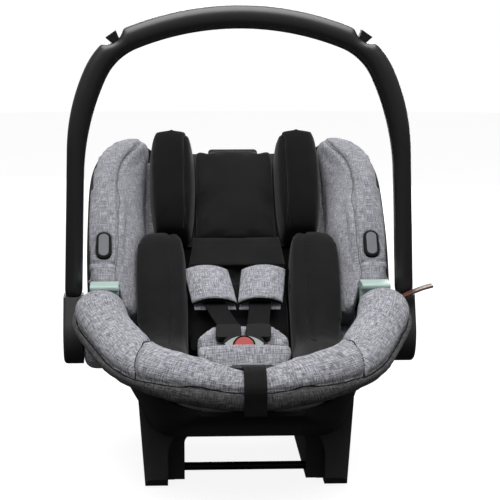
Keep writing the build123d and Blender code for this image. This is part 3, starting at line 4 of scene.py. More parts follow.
import bpy
import numpy as np
from mathutils import Vector
from mathutils.bvhtree import BVHTree
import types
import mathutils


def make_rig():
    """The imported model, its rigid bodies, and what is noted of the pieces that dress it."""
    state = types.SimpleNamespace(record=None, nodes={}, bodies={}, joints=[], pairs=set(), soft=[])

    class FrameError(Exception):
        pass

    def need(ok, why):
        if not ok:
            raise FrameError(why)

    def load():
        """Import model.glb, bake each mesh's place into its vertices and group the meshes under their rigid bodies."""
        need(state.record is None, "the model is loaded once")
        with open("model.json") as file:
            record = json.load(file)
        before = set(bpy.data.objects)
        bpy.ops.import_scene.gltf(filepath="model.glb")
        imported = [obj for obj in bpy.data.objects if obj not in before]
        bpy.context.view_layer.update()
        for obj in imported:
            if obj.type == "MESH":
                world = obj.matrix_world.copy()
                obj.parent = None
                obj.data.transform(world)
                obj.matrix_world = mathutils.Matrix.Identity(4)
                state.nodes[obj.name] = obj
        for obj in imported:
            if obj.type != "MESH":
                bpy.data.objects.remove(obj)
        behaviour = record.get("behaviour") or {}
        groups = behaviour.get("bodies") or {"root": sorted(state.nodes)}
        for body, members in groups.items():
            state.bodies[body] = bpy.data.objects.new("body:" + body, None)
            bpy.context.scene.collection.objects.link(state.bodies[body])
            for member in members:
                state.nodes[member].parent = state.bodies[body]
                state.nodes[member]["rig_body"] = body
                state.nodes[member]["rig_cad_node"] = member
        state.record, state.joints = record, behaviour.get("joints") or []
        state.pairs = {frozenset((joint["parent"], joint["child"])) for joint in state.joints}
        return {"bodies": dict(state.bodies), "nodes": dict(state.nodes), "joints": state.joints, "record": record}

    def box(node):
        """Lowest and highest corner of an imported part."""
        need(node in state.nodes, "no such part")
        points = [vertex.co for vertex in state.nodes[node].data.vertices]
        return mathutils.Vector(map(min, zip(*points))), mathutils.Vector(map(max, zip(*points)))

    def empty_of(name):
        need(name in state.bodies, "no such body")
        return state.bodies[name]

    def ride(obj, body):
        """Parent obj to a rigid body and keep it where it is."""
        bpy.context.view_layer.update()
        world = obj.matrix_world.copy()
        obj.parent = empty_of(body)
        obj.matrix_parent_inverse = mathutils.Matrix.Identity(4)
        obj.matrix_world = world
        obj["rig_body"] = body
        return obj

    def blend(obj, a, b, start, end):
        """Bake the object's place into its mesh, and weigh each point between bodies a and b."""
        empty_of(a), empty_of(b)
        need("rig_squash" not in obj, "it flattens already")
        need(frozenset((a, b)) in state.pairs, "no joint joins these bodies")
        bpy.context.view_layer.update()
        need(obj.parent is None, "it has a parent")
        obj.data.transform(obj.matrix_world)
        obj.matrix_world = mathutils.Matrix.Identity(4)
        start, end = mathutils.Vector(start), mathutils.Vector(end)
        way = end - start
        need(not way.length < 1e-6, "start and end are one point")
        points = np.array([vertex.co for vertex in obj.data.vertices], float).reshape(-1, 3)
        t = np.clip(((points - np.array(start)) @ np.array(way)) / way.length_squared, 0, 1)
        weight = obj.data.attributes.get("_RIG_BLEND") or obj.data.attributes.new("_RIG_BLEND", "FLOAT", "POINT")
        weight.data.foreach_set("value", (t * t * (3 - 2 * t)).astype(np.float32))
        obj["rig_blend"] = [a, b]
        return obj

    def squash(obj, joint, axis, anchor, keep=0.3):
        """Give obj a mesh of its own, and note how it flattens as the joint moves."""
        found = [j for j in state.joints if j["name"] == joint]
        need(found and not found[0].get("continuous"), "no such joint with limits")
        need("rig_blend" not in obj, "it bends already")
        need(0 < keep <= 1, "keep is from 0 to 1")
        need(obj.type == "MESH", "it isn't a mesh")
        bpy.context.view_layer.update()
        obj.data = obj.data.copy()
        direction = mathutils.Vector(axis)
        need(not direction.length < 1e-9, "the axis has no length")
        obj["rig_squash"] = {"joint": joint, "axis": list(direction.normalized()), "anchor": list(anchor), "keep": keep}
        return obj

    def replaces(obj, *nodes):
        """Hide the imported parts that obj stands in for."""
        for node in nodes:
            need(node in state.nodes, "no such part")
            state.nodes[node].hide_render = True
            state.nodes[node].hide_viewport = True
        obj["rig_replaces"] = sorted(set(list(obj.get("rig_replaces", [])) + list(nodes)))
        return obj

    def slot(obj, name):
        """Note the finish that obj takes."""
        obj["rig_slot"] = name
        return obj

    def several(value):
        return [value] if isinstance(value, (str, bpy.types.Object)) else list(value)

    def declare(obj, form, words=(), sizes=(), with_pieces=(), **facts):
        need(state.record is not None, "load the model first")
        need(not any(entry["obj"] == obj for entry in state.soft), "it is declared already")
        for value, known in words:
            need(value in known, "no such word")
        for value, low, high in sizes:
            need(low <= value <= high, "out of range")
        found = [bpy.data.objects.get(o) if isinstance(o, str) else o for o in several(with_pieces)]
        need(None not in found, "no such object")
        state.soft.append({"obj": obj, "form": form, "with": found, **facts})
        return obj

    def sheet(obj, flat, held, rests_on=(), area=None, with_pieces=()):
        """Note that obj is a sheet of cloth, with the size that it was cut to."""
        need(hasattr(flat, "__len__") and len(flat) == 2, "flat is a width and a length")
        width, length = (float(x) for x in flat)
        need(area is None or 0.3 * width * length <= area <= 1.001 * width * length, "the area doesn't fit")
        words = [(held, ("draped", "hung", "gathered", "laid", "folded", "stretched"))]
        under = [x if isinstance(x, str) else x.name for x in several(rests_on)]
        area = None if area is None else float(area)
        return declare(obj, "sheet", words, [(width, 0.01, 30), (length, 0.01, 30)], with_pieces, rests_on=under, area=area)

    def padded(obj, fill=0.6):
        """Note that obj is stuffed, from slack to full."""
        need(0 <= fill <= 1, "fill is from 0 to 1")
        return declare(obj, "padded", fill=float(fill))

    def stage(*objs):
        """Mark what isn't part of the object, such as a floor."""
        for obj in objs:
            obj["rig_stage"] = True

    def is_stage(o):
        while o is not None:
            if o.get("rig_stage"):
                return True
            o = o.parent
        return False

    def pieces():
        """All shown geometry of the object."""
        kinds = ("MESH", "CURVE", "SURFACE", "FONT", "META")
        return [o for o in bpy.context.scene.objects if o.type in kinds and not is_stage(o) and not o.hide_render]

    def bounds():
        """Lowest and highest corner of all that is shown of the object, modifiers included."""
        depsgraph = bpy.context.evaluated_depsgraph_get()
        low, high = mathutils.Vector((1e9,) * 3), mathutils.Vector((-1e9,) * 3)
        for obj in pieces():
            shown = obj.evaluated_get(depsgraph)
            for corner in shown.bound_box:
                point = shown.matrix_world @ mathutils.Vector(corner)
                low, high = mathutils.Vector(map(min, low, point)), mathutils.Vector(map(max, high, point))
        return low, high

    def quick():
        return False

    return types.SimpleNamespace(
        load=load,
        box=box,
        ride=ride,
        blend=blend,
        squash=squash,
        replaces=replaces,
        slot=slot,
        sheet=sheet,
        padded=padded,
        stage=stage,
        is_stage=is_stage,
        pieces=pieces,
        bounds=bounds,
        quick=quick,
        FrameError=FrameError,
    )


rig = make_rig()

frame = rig.load()
cad_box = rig.bounds()
nodes = frame["nodes"]
scene = bpy.context.scene

# The seat's own directions, as in the part: tilt and foot of the backrest, tilt and middle of the
# buckle. Places on them are given in millimetres and turned into the scene's metres
BACK = math.radians(47)
BACK_Y, BACK_Z = 34, 67
BUCKLE = math.radians(58)
BUCKLE_Y, BUCKLE_Z = -95, 160

TINY = 1e-9  # keeps a division safe


def at(x, y, z):
    """Point given in millimetres."""
    return Vector((x, y, z)) / 1000


def on_back(x, s, n):
    """Point s up the backrest and n out of it."""
    y = BACK_Y + s * math.cos(BACK) - n * math.sin(BACK)
    z = BACK_Z + s * math.sin(BACK) + n * math.cos(BACK)
    return at(x, y, z)


def in_buckle(x, y, depth):
    """Point y up along the buckle and depth out of its front."""
    return at(
        x,
        BUCKLE_Y + y * math.cos(BUCKLE) - depth * math.sin(BUCKLE),
        BUCKLE_Z + y * math.sin(BUCKLE) + depth * math.cos(BUCKLE),
    )


# Materials


class Shade:
    """A material with a Principled shader, and short calls for its nodes."""

    def __init__(self, name, **values):
        self.material = bpy.data.materials.new(name)
        self.material.use_nodes = True
        self.tree = self.material.node_tree
        self.shader = self.tree.nodes["Principled BSDF"]
        for key, value in values.items():
            self.shader.inputs[key.replace("_", " ")].default_value = value
        self.place = self.tree.nodes.new("ShaderNodeTexCoord").outputs["Object"]

    def node(self, kind, links=None, **values):
        """A new node: links gives its sockets a link or a value, the rest are its settings."""
        made = self.tree.nodes.new("ShaderNode" + kind)
        for key, value in values.items():
            setattr(made, key, value)
        for key, value in (links or {}).items():
            if isinstance(value, bpy.types.NodeSocket):
                self.tree.links.new(value, made.inputs[key])
            else:
                made.inputs[key].default_value = value
        return made

    def scaled(self, x, y, z, place=None):
        """A place scaled along each axis."""
        links = {"Vector": place or self.place, "Scale": (x, y, z)}
        return self.node("Mapping", links).outputs["Vector"]

    def noise(self, place, scale, detail=2.0, rough=0.5):
        links = {"Vector": place, "Scale": scale, "Detail": detail, "Roughness": rough}
        return self.node("TexNoise", links).outputs["Fac"]

    def wave(self, scale, way, distortion, place=None):
        links = {"Vector": place or self.place, "Scale": scale, "Distortion": distortion}
        return self.node("TexWave", links, bands_direction=way).outputs["Fac"]

    def ramp(self, value, *stops):
        """Colours between stops of (place, colour)."""
        made = self.node("ValToRGB", {"Fac": value})
        points = made.color_ramp.elements
        while len(points) < len(stops):
            points.new(0.5)
        for point, (place, colour) in zip(points, stops):
            point.position = place
            point.color = (*colour, 1)
        return made.outputs["Color"]

    def math(self, kind, a, b):
        return self.node("Math", {0: a, 1: b}, operation=kind).outputs["Value"]

    def multiply(self, a, b):
        """Two colours multiplied. The colour sockets of a Mix node go by number."""
        factor, first, second, result = 0, 6, 7, 2
        links = {factor: 1.0, first: a, second: b}
        made = self.node("Mix", links, data_type="RGBA", blend_type="MULTIPLY")
        return made.outputs[result]

    def set(self, key, value):
        self.tree.links.new(value, self.shader.inputs[key])

    def bump(self, height, strength, distance):
        made = self.node("Bump", {"Height": height, "Strength": strength, "Distance": distance})
        self.set("Normal", made.outputs["Normal"])


def tone(value, blue=1.0):
    """A near grey in linear light."""
    return (value, value, value * blue)


def melange(name, light, blue=1.1, contrast=1.0, fine=1.0):
    """Woven cover with long pale and dark threads both ways, laid out by the piece's own weave."""
    m = Shade(
        name, Roughness=0.95, Sheen_Weight=0.12, Sheen_Roughness=0.5, Specular_IOR_Level=0.1,
    )
    cloth = m.node("UVMap", uv_map="weave").outputs["UV"]
    slow, fast = 85 * fine, 720 * fine
    across = m.noise(m.scaled(slow, fast, 1, cloth), 1.0, 3.0, 0.65)
    along = m.noise(m.scaled(fast, slow, 1, cloth), 1.0, 3.0, 0.65)
    half = m.math("MULTIPLY", m.math("ADD", across, along), 0.5)
    stops = [
        (0.5 + offset / contrast, tone(shade * light, blue))
        for offset, shade in ((-0.13, 0.08), (-0.04, 0.19), (0.04, 0.30), (0.16, 0.52))
    ]
    colour = m.ramp(half, *stops)
    cloud = m.ramp(m.noise(m.place, 16.0, 3.0), (0.35, tone(0.88)), (0.65, tone(1.0)))
    m.set("Base Color", m.multiply(colour, cloud))
    weave = m.math("ADD", m.wave(190.0, "X", 1.5, cloth), m.wave(190.0, "Y", 1.5, cloth))
    m.bump(m.math("ADD", weave, m.math("MULTIPLY", half, 3.0)), 0.4, 0.0006)
    return m.material


def knit(name, dark, light):
    """Dark soft knit with a faint rib and a nap."""
    m = Shade(
        name, Roughness=0.92, Sheen_Weight=0.12, Sheen_Roughness=0.4, Specular_IOR_Level=0.12,
    )
    blue = 1.08
    fleck = m.noise(m.place, 900.0, 1.0)
    blotch = m.noise(m.place, 30.0, 4.0)
    value = m.math("ADD", m.math("MULTIPLY", blotch, 0.6), m.math("MULTIPLY", fleck, 0.4))
    m.set("Base Color", m.ramp(value, (0.35, tone(dark, blue)), (0.65, tone(light, blue))))
    m.bump(m.math("ADD", m.wave(260.0, "X", 0.6), fleck), 0.3, 0.0004)
    return m.material


def moulded(name, colour, rough, shine=0.3, grain=900.0, bump=0.12, wear=0.2):
    """Moulded plastic: fine spark texture, slightly uneven gloss."""
    m = Shade(name, Specular_IOR_Level=shine)
    uneven = 0.16
    spark = m.noise(m.place, grain, 2.0)
    worn = tuple(min(1.0, c * (1 + wear)) for c in colour)
    m.set("Base Color", m.ramp(m.noise(m.place, 22.0, 4.0), (0.3, colour), (0.75, worn)))
    m.set("Roughness", m.math("ADD", m.math("MULTIPLY", spark, uneven), rough - uneven / 2))
    m.bump(spark, bump, 0.0004)
    return m.material


def webbing(name):
    """Woven harness strap: ribs along it and a fine step across."""
    m = Shade(name, Roughness=0.75, Specular_IOR_Level=0.1)
    both = m.math("ADD", m.wave(150.0, "X", 0.3), m.wave(240.0, "Y", 0.4))
    m.set("Base Color", m.ramp(both, (0.3, tone(0.003)), (0.9, tone(0.007))))
    m.bump(both, 0.4, 0.0005)
    return m.material


def hide(name, dark, pale):
    """Smooth leather with a fine pebbled grain."""
    m = Shade(name, Roughness=0.5, Specular_IOR_Level=0.3)
    cells = m.node("TexVoronoi", {"Vector": m.place, "Scale": 900.0}).outputs["Distance"]
    m.set("Base Color", m.ramp(m.noise(m.place, 90.0, 4.0), (0.3, dark), (0.7, pale)))
    m.bump(cells, 0.35, 0.0005)
    return m.material


def drawn(name, dark, pale):
    """Drawn steel, streaked along X."""
    m = Shade(name, Metallic=1.0)
    streak = m.noise(m.scaled(20, 900, 900), 1.0, 3.0)
    m.set("Base Color", m.ramp(streak, (0.3, tone(dark)), (0.7, tone(pale))))
    m.set("Roughness", m.math("ADD", m.math("MULTIPLY", streak, 0.2), 0.25))
    m.bump(streak, 0.1, 0.0003)
    return m.material


COVER = melange("cover_melange", light=1.3)
RIM_COVER = melange("rim_melange", light=1.16, contrast=1.25, fine=0.85)
# The wings take a darker copy of the grey cover: painted shade, as they sit back in shadow; the lining beside the
# insert takes it too
SHADED_WING_COVER = melange("wing_melange_shaded", light=1.24, contrast=0.8)
# The bulges beside the hubs take a much lighter copy of the grey cover: painted light where they sit in shade
LIT_SIDE_COVER = melange("side_melange_painted_light", light=2.3)
# A darker copy of the grey cover for the rim's skirt: painted shade under the welt
SHADED_SKIRT = melange("skirt_melange_painted_shade", light=0.33, blue=1.0, contrast=1.2)
BLACK_COVER = knit("cover_black", dark=0.0085, light=0.013)
HEAD_COVER = knit("head_black", dark=0.004, light=0.0065)
LINING = knit("lining_black", dark=0.004, light=0.007)
STRAP = webbing("webbing_black")
LEATHER = hide("tab_leather", dark=(0.05, 0.018, 0.012), pale=(0.12, 0.045, 0.028))
SHELL = moulded("shell_plastic", tone(0.013), rough=0.5, shine=0.12)
# Base and hubs take a lighter copy of the shell's black plastic: painted light, so they read lighter than the shaded
# belly of the shell
LIT_BASE_PLASTIC = moulded("base_plastic_painted_light", tone(0.042), rough=0.5, shine=0.12)
SATIN = moulded("handle_plastic", tone(0.0035), rough=0.36, shine=1.0, grain=1400.0, bump=0.06)
MINT = moulded("mint_plastic", (0.385, 0.505, 0.465), rough=0.4, bump=0.05, wear=0.06)
GREY = moulded("button_grey", (0.13, 0.136, 0.15), rough=0.42, bump=0.05, wear=0.1)
PLATE = moulded("plate_pale", (0.31, 0.345, 0.34), rough=0.4, bump=0.04, wear=0.05)
RED = moulded("button_red", (0.40, 0.052, 0.046), rough=0.35, bump=0.03, wear=0.1)
RUBBER = moulded("foot_rubber", tone(0.006), rough=0.8, shine=0.15, grain=500.0, bump=0.3)
THREAD = moulded("thread_grey", tone(0.22), rough=0.8, shine=0.1, grain=2000.0, bump=0.2)
# Near-black for the rim's seam cord, partly painted shade in the seams, and for the ring round the red button
SEAM_SHADE_AND_RING = moulded("seam_shade_and_ring_dark", tone(0.012), rough=0.85, shine=0.08, grain=1500.0, bump=0.3)
# Grey darker than the wing cloth for the wing seam's cord: partly real cord, partly painted shade in the seam
SEAM_SHADE_GREY = moulded("cord_grey_seam_shade", tone(0.13), rough=0.85, shine=0.08, grain=1500.0, bump=0.3)
STEEL = drawn("pin_steel", dark=0.34, pale=0.58)
BAR = drawn("bar_blacked", dark=0.008, pale=0.02)

finishes = {
    SHELL: "seat_shell pivot_boss_left pivot_boss_right headrest_frame headrest_rail "
           "headrest_lever buckle_housing tongue_left tongue_right adjuster_housing canopy_pegs",
    LIT_BASE_PLASTIC: "base_frame handle_hub_left handle_hub_right",
    SATIN: "handle_bow hub_button_left hub_button_right",
    MINT: "belt_guide_left belt_guide_right rear_belt_guide",
    GREY: "wing_button_left wing_button_right adjuster_button",
    PLATE: "buckle_plate",
    RED: "buckle_button",
    RUBBER: "foot_pads wing_bezel_left wing_bezel_right",
    STEEL: "pivot_pin_left pivot_pin_right hub_spring_left hub_spring_right buckle_spring "
           "base_screws",
    BAR: "front_latch_bar rear_latch_bar",
}
for material, names in finishes.items():
    for name in names.split():
        nodes[name].data.materials.clear()
        nodes[name].data.materials.append(material)


# Mesh helpers


def points_of(mesh):
    found = np.zeros(len(mesh.vertices) * 3)
    mesh.vertices.foreach_get("co", found)
    return found.reshape(-1, 3)


def normals_of(mesh):
    found = np.zeros(len(mesh.vertices) * 3)
    mesh.vertex_normals.foreach_get("vector", found)
    return found.reshape(-1, 3)


def set_points(mesh, places):
    mesh.vertices.foreach_set("co", places.astype(np.float32).ravel())
    mesh.update()


def set_smooth(mesh):
    mesh.polygons.foreach_set("use_smooth", [True] * len(mesh.polygons))


def placed(name, data):
    """A new object in the scene."""
    obj = bpy.data.objects.new(name, data)
    scene.collection.objects.link(obj)
    return obj


def take_shape(obj):
    """The object's mesh as its modifiers leave it."""
    graph = bpy.context.evaluated_depsgraph_get()
    mesh = bpy.data.meshes.new_from_object(obj.evaluated_get(graph))
    obj.modifiers.clear()
    obj.data = mesh
    return mesh


def worked(obj, kind, **values):
    """The object's mesh with one modifier worked in."""
    made = obj.modifiers.new("work", kind)
    for key, value in values.items():
        setattr(made, key, value)
    return take_shape(obj)


def tree_of(mesh):
    return BVHTree.FromPolygons([v.co for v in mesh.vertices], [p.vertices for p in mesh.polygons])


def smooth_line(points, step=0.003):
    """Points along a smooth curve through the given ones, about step apart."""
    given = np.array([tuple(p) for p in points], float)
    ends = np.vstack([2 * given[0] - given[1], given, 2 * given[-1] - given[-2]])
    made = []
    for a, b, c, d in zip(ends, ends[1:], ends[2:], ends[3:]):
        count = max(2, int(np.linalg.norm(c - b) / step))
        square, cube = 2 * a - 5 * b + 4 * c - d, 3 * b - a - 3 * c + d
        for t in np.linspace(0, 1, count, endpoint=False):
            made.append(0.5 * (2 * b + (c - a) * t + square * t ** 2 + cube * t ** 3))
    made.append(given[-1])
    return np.array(made)


def lengths_along(path):
    """How far along a path each of its points lies."""
    return np.r_[0, np.cumsum(np.linalg.norm(np.diff(path, axis=0), axis=1))]


def nearness(places, line):
    """Distance from each place to the nearest point of a line."""
    best = np.full(len(places), np.inf)
    for point in line:
        best = np.minimum(best, ((places - point) ** 2).sum(1))
    return np.sqrt(best)


def laid_on(mesh, line):
    """A line laid on a mesh and evened out, twice, with the surface's direction at each point."""
    tree = tree_of(mesh)
    path = line
    for rounds in (12, 3):
        hits = [tree.find_nearest(Vector(p)) for p in path]
        path = np.array([tuple(hit[0]) for hit in hits])
        way_out = np.array([tuple(hit[1]) for hit in hits])
        for _ in range(rounds):
            for row in (path, way_out):
                row[1:-1] = (row[:-2] + 2 * row[1:-1] + row[2:]) / 4
    return path, way_out / np.linalg.norm(way_out, axis=1)[:, None]


def finished(obj, material, body, slot):
    """Give a piece its material and let it ride on a body, if it has just one."""
    obj.data.materials.clear()
    obj.data.materials.append(material)
    set_smooth(obj.data)
    if body:
        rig.ride(obj, body)
    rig.slot(obj, slot)
    return obj


def new_piece(name, vertices, faces, material, body, slot):
    mesh = bpy.data.meshes.new(name)
    mesh.from_pydata([tuple(v) for v in vertices], [], faces)
    mesh.update()
    return finished(placed(name, mesh), material, body, slot)


def tube_faces(rows, ring, closed=False):
    """Faces of a skin over rows of ring points each, the two ends last unless it runs round."""
    faces = []
    for i in range(rows if closed else rows - 1):
        for j in range(ring):
            a, b = i * ring + j, i * ring + (j + 1) % ring
            c, d = (i + 1) % rows * ring + (j + 1) % ring, (i + 1) % rows * ring + j
            faces.append((a, b, c, d))
    if not closed:
        faces.append(tuple(range(ring - 1, -1, -1)))
        faces.append(tuple((rows - 1) * ring + j for j in range(ring)))
    return faces


def add_tube(vertices, faces, rings, both):
    """Add a skin over rings of points, and its mirror image where both hands have it."""
    for sign in ((1, -1) if both else (1,)):
        first = len(vertices)
        for ring in rings:
            vertices += [(x * sign, y, z) for x, y, z in ring]
        for face in tube_faces(len(rings), len(rings[0])):
            faces.append(tuple(first + i for i in face[::sign]))


def lay_weave(obj, run, rise):
    """Keep where each point lies in the cloth, in metres along its threads."""
    mesh = obj.data
    corners = np.zeros(len(mesh.loops), dtype=np.int32)
    mesh.loops.foreach_get("vertex_index", corners)
    layer = mesh.uv_layers.get("weave") or mesh.uv_layers.new(name="weave")
    laid = np.column_stack([run[corners], rise[corners]])
    layer.data.foreach_set("uv", laid.astype(np.float32).ravel())


# Padded covers

PRESSURE = 6.0
CLOTH_FRAMES = 16
HELD = 0.9  # cloth is held this near a seam, in voxels
SEAM_WIDTH, SEAM_DEPTH = 0.003, 0.003
FILL = 0.6

everything = {name: tree_of(obj.data) for name, obj in nodes.items()}


def make_room(mesh, node):
    """Draw a swollen cover back to the middle of the gap between its solid and every neighbour."""
    margin, reach, clear = 0.004, 0.006, 0.0002
    own = everything[node]
    places = points_of(mesh)
    low, high = places.min(0) - margin, places.max(0) + margin
    near = []
    for name in nodes:
        box = np.array([tuple(v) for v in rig.box(name)])
        if name != node and (box[0] < high).all() and (box[1] > low).all():
            near.append(everything[name])
    for i, place in enumerate(places):
        point = Vector(place)
        root, way, _, _ = own.find_nearest(point)
        out = point - root
        if out.dot(way) <= 0:
            continue
        for tree in near:
            spot, face, _, far = tree.find_nearest(point, out.length + reach)
            if spot is None:
                continue
            gap = far if (point - spot).dot(face) > 0 else -far
            room = max(0.0, (gap + out.length) / 2 - clear)
            if room < out.length:
                out = out * (room / out.length)
                point = root + out
        places[i] = point
    set_points(mesh, places)


def blown_up(obj, start, lines, voxel, swell):
    """The object's mesh blown up as cloth, held along lines and moved by no more than swell."""
    cloth = obj.modifiers.new("cloth", "CLOTH")
    settings = cloth.settings
    if lines:
        held = obj.vertex_groups.new(name="held")
        close = np.min([nearness(start, laid_on(obj.data, line)[0]) for line in lines], axis=0)
        held.add([int(i) for i in np.nonzero(close < voxel * HELD)[0]], 1.0, "REPLACE")
        settings.vertex_group_mass = "held"
    settings.quality = 4
    settings.mass = 0.2
    settings.tension_stiffness = 15
    settings.compression_stiffness = 15
    settings.bending_stiffness = 0.5
    settings.use_pressure = True
    settings.uniform_pressure_force = PRESSURE
    settings.effector_weights.gravity = 0
    cloth.point_cache.frame_start = 1
    cloth.point_cache.frame_end = CLOTH_FRAMES
    for step in range(1, CLOTH_FRAMES + 1):
        scene.frame_set(step)
    mesh = take_shape(obj)
    scene.frame_set(1)
    moved = points_of(mesh) - start
    length = np.linalg.norm(moved, axis=1)
    share = swell * np.tanh(length / swell) / np.maximum(length, TINY)
    set_points(mesh, start + moved * share[:, None])
    obj.vertex_groups.clear()
    return mesh


def stuffed(node, name, material, body, slot, voxel=0.005, grow=0.001, swell=0.006, seams=(),
            creases=(), blown=True):
    """Padded cover over a solid: remeshed, blown up, and drawn in along its seams and its creases,
    which are (line, width, depth)."""
    obj = placed(name, nodes[node].data.copy())
    worked(obj, "REMESH", mode="VOXEL", voxel_size=voxel)
    mesh = worked(obj, "SMOOTH", iterations=3)
    start = points_of(mesh) + normals_of(mesh) * grow
    set_points(mesh, start)
    lines = [smooth_line(line) for line in seams]
    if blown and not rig.quick():
        mesh = blown_up(obj, start, lines, voxel, swell)
    make_room(mesh, node)
    mesh = worked(obj, "SUBSURF", levels=1, render_levels=1)
    places, outward = points_of(mesh), normals_of(mesh)
    drops = [(line, SEAM_WIDTH, SEAM_DEPTH) for line in lines]
    drops += [(smooth_line(line), width, depth) for line, width, depth in creases]
    for line, width, depth in drops:
        drop = np.exp(-(nearness(places, laid_on(mesh, line)[0]) / width) ** 2)
        places = places - outward * (depth * drop)[:, None]
    set_points(mesh, places)
    finished(obj, material, body, slot)
    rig.replaces(obj, node)
    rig.padded(obj, FILL)
    return obj


def mirrored(source, node, name, body, slot):
    """The left twin of a right-hand padded cover."""
    mesh = source.data.copy()
    places = points_of(mesh)
    places[:, 0] *= -1
    set_points(mesh, places)
    mesh.flip_normals()
    obj = placed(name, mesh)
    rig.ride(obj, body)
    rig.slot(obj, slot)
    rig.replaces(obj, node)
    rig.padded(obj, FILL)
    return obj


def stitches(name, runs, material, body, slot):
    """Thread along lines laid on covers: runs of (cover, line, both hands)."""
    length, gap, thick, sunk = 0.0032, 0.0018, 0.0004, 0.3
    corners = ((1, 0), (0, 1), (-1, 0), (0, -1))
    vertices, faces = [], []
    for cover, line, both in runs:
        path, way_out = laid_on(cover.data, smooth_line(line, 0.001))
        steps = lengths_along(path)
        start = 0.0
        while start + length < steps[-1]:
            ends = [
                np.array([np.interp(start + k * length, steps, path[:, axis]) for axis in range(3)])
                for k in (0, 0.5, 1)
            ]
            out = way_out[np.searchsorted(steps, start)]
            side = np.cross(ends[2] - ends[0], out)
            side = side / max(np.linalg.norm(side), TINY) * thick
            rings = []
            for end, rise in zip(ends, (0.0, 1.0, 0.0)):
                middle = end + out * thick * (rise - sunk)
                rings.append([middle + side * a + out * thick * b for a, b in corners])
            add_tube(vertices, faces, rings, both)
            start += length + gap
    return new_piece(name, vertices, faces, material, body, slot)


def piping(name, runs, radius, material, body, slot):
    """Round cord sunk along lines laid on covers: runs of (cover, line, both hands)."""
    sides, sunk = 6, 0.2
    turns = [2 * math.pi * k / sides for k in range(sides)]
    vertices, faces = [], []
    for cover, line, both in runs:
        path, way_out = laid_on(cover.data, smooth_line(line))
        rings = []
        for i, (point, out) in enumerate(zip(path, way_out)):
            along = path[min(i + 1, len(path) - 1)] - path[max(i - 1, 0)]
            side = np.cross(along, out)
            side = side / max(np.linalg.norm(side), TINY)
            rings.append([
                point + radius * (side * math.cos(turn) + out * (math.sin(turn) - sunk))
                for turn in turns
            ])
        add_tube(vertices, faces, rings, both)
    return new_piece(name, vertices, faces, material, body, slot)


# Wing covers: a seam runs up the inner edge of the front face, a short crease lies below the
# button. Rows: place up the back, height of the edge, outer side, width of the front face
WING = (
    (119, 82, 196, 44), (176, 86, 197.5, 44), (250, 80, 197, 44), (320, 70, 191.5, 42),
    (358, 61, 176, 46), (378, 50, 154, 32),
)


def along_back(places):
    """Weave of covers that lie up the backrest: round their roll, and up it."""
    roll_x, roll_high, radius = 0.158, 0.045, 0.045
    y, z = places[:, 1] - BACK_Y / 1000, places[:, 2] - BACK_Z / 1000
    high = z * math.cos(BACK) - y * math.sin(BACK)
    turn = np.arctan2(np.abs(places[:, 0]) - roll_x, high - roll_high)
    return turn * radius, y * math.cos(BACK) + z * math.sin(BACK)


def tuck(mesh):
    """Sink a pocket for the button's bezel, and draw the inner side of the lower end down."""
    button_x, button_along, straight, radius, bed = 0.175, 0.176, 0.0105, 0.009, 0.0717
    lower_end, drop, inner, fade = 0.150, 0.028, 0.156, 0.008
    places = points_of(mesh)
    up_back = np.array([0, math.cos(BACK), math.sin(BACK)])
    off_back = np.array([0, -math.sin(BACK), math.cos(BACK)])
    from_foot = places - at(0, BACK_Y, BACK_Z)
    along, high = from_foot @ up_back, from_foot @ off_back
    past_end = np.maximum(np.abs(along - button_along) - straight, 0)
    from_button = np.hypot(places[:, 0] - button_x, past_end)
    sunk = np.where(from_button < radius, np.maximum(high - bed, 0), 0)
    inward = np.clip((inner - places[:, 0]) / fade, 0, 1)
    lowered = drop * np.clip((lower_end - along) / drop, 0, 1) ** 1.5 * inward
    set_points(mesh, places - lowered[:, None] * up_back - sunk[:, None] * off_back)


wing_seam = [on_back(outer - front + 1, s, edge + 5) for s, edge, outer, front in WING]
wing_crease = [on_back(x, 150, 92) for x in (158, 166, 176, 190)]
wing = stuffed(
    "wing_pad_right", "wing_cover_right", SHADED_WING_COVER, "shell", "grey_cover",
    seams=[wing_seam, wing_crease],
)
tuck(wing.data)
lay_weave(wing, *along_back(points_of(wing.data)))
mirrored(wing, "wing_pad_left", "wing_cover_left", "shell", "grey_cover")

# Rim cover: three top panels, a welt along the outer edge, and under it a skirt in a darker copy of the grey cloth,
# painted shade where the rim turns under. Stations:
# x, y, z, half width, heights of outer seam and inner edge, crown
RIM = (
    (0, -283, 147, 23, 5, 16, 9), (66, -268, 152, 24, 3, 29, 9), (121, -226, 162, 26, -4, 24, 12),
    (150, -150, 171, 31, -3, 15, 16), (170, -88, 183, 32, -2, 10, 20),
    (179, -40, 194, 33, 0, 8, 21), (181, -12, 200, 24, 0, 6, 14),
)
rim_path = [(-x, *rest) for x, *rest in RIM[:0:-1]] + list(RIM)


def rim_point(place, share):
    """Point at a place along the rim's stations, share of the way from inner edge to outer seam."""
    last = len(rim_path) - 1
    low = min(int(place), last - 1)
    frames = []
    for i in (low, low + 1):
        way = Vector(rim_path[min(i + 1, last)][:3]) - Vector(rim_path[max(i - 1, 0)][:3])
        out = way.cross(Vector((0, 0, 1))).normalized()
        up = out.cross(way).normalized()
        x, y, z, half, seam, inner, crown = rim_path[i]
        high = inner + (seam - inner) * share + 4 * crown * share * (1 - share)
        frames.append(Vector((x, y, z)) + out * half * (2 * share - 1) + up * high)
    return frames[0].lerp(frames[1], place - low) / 1000


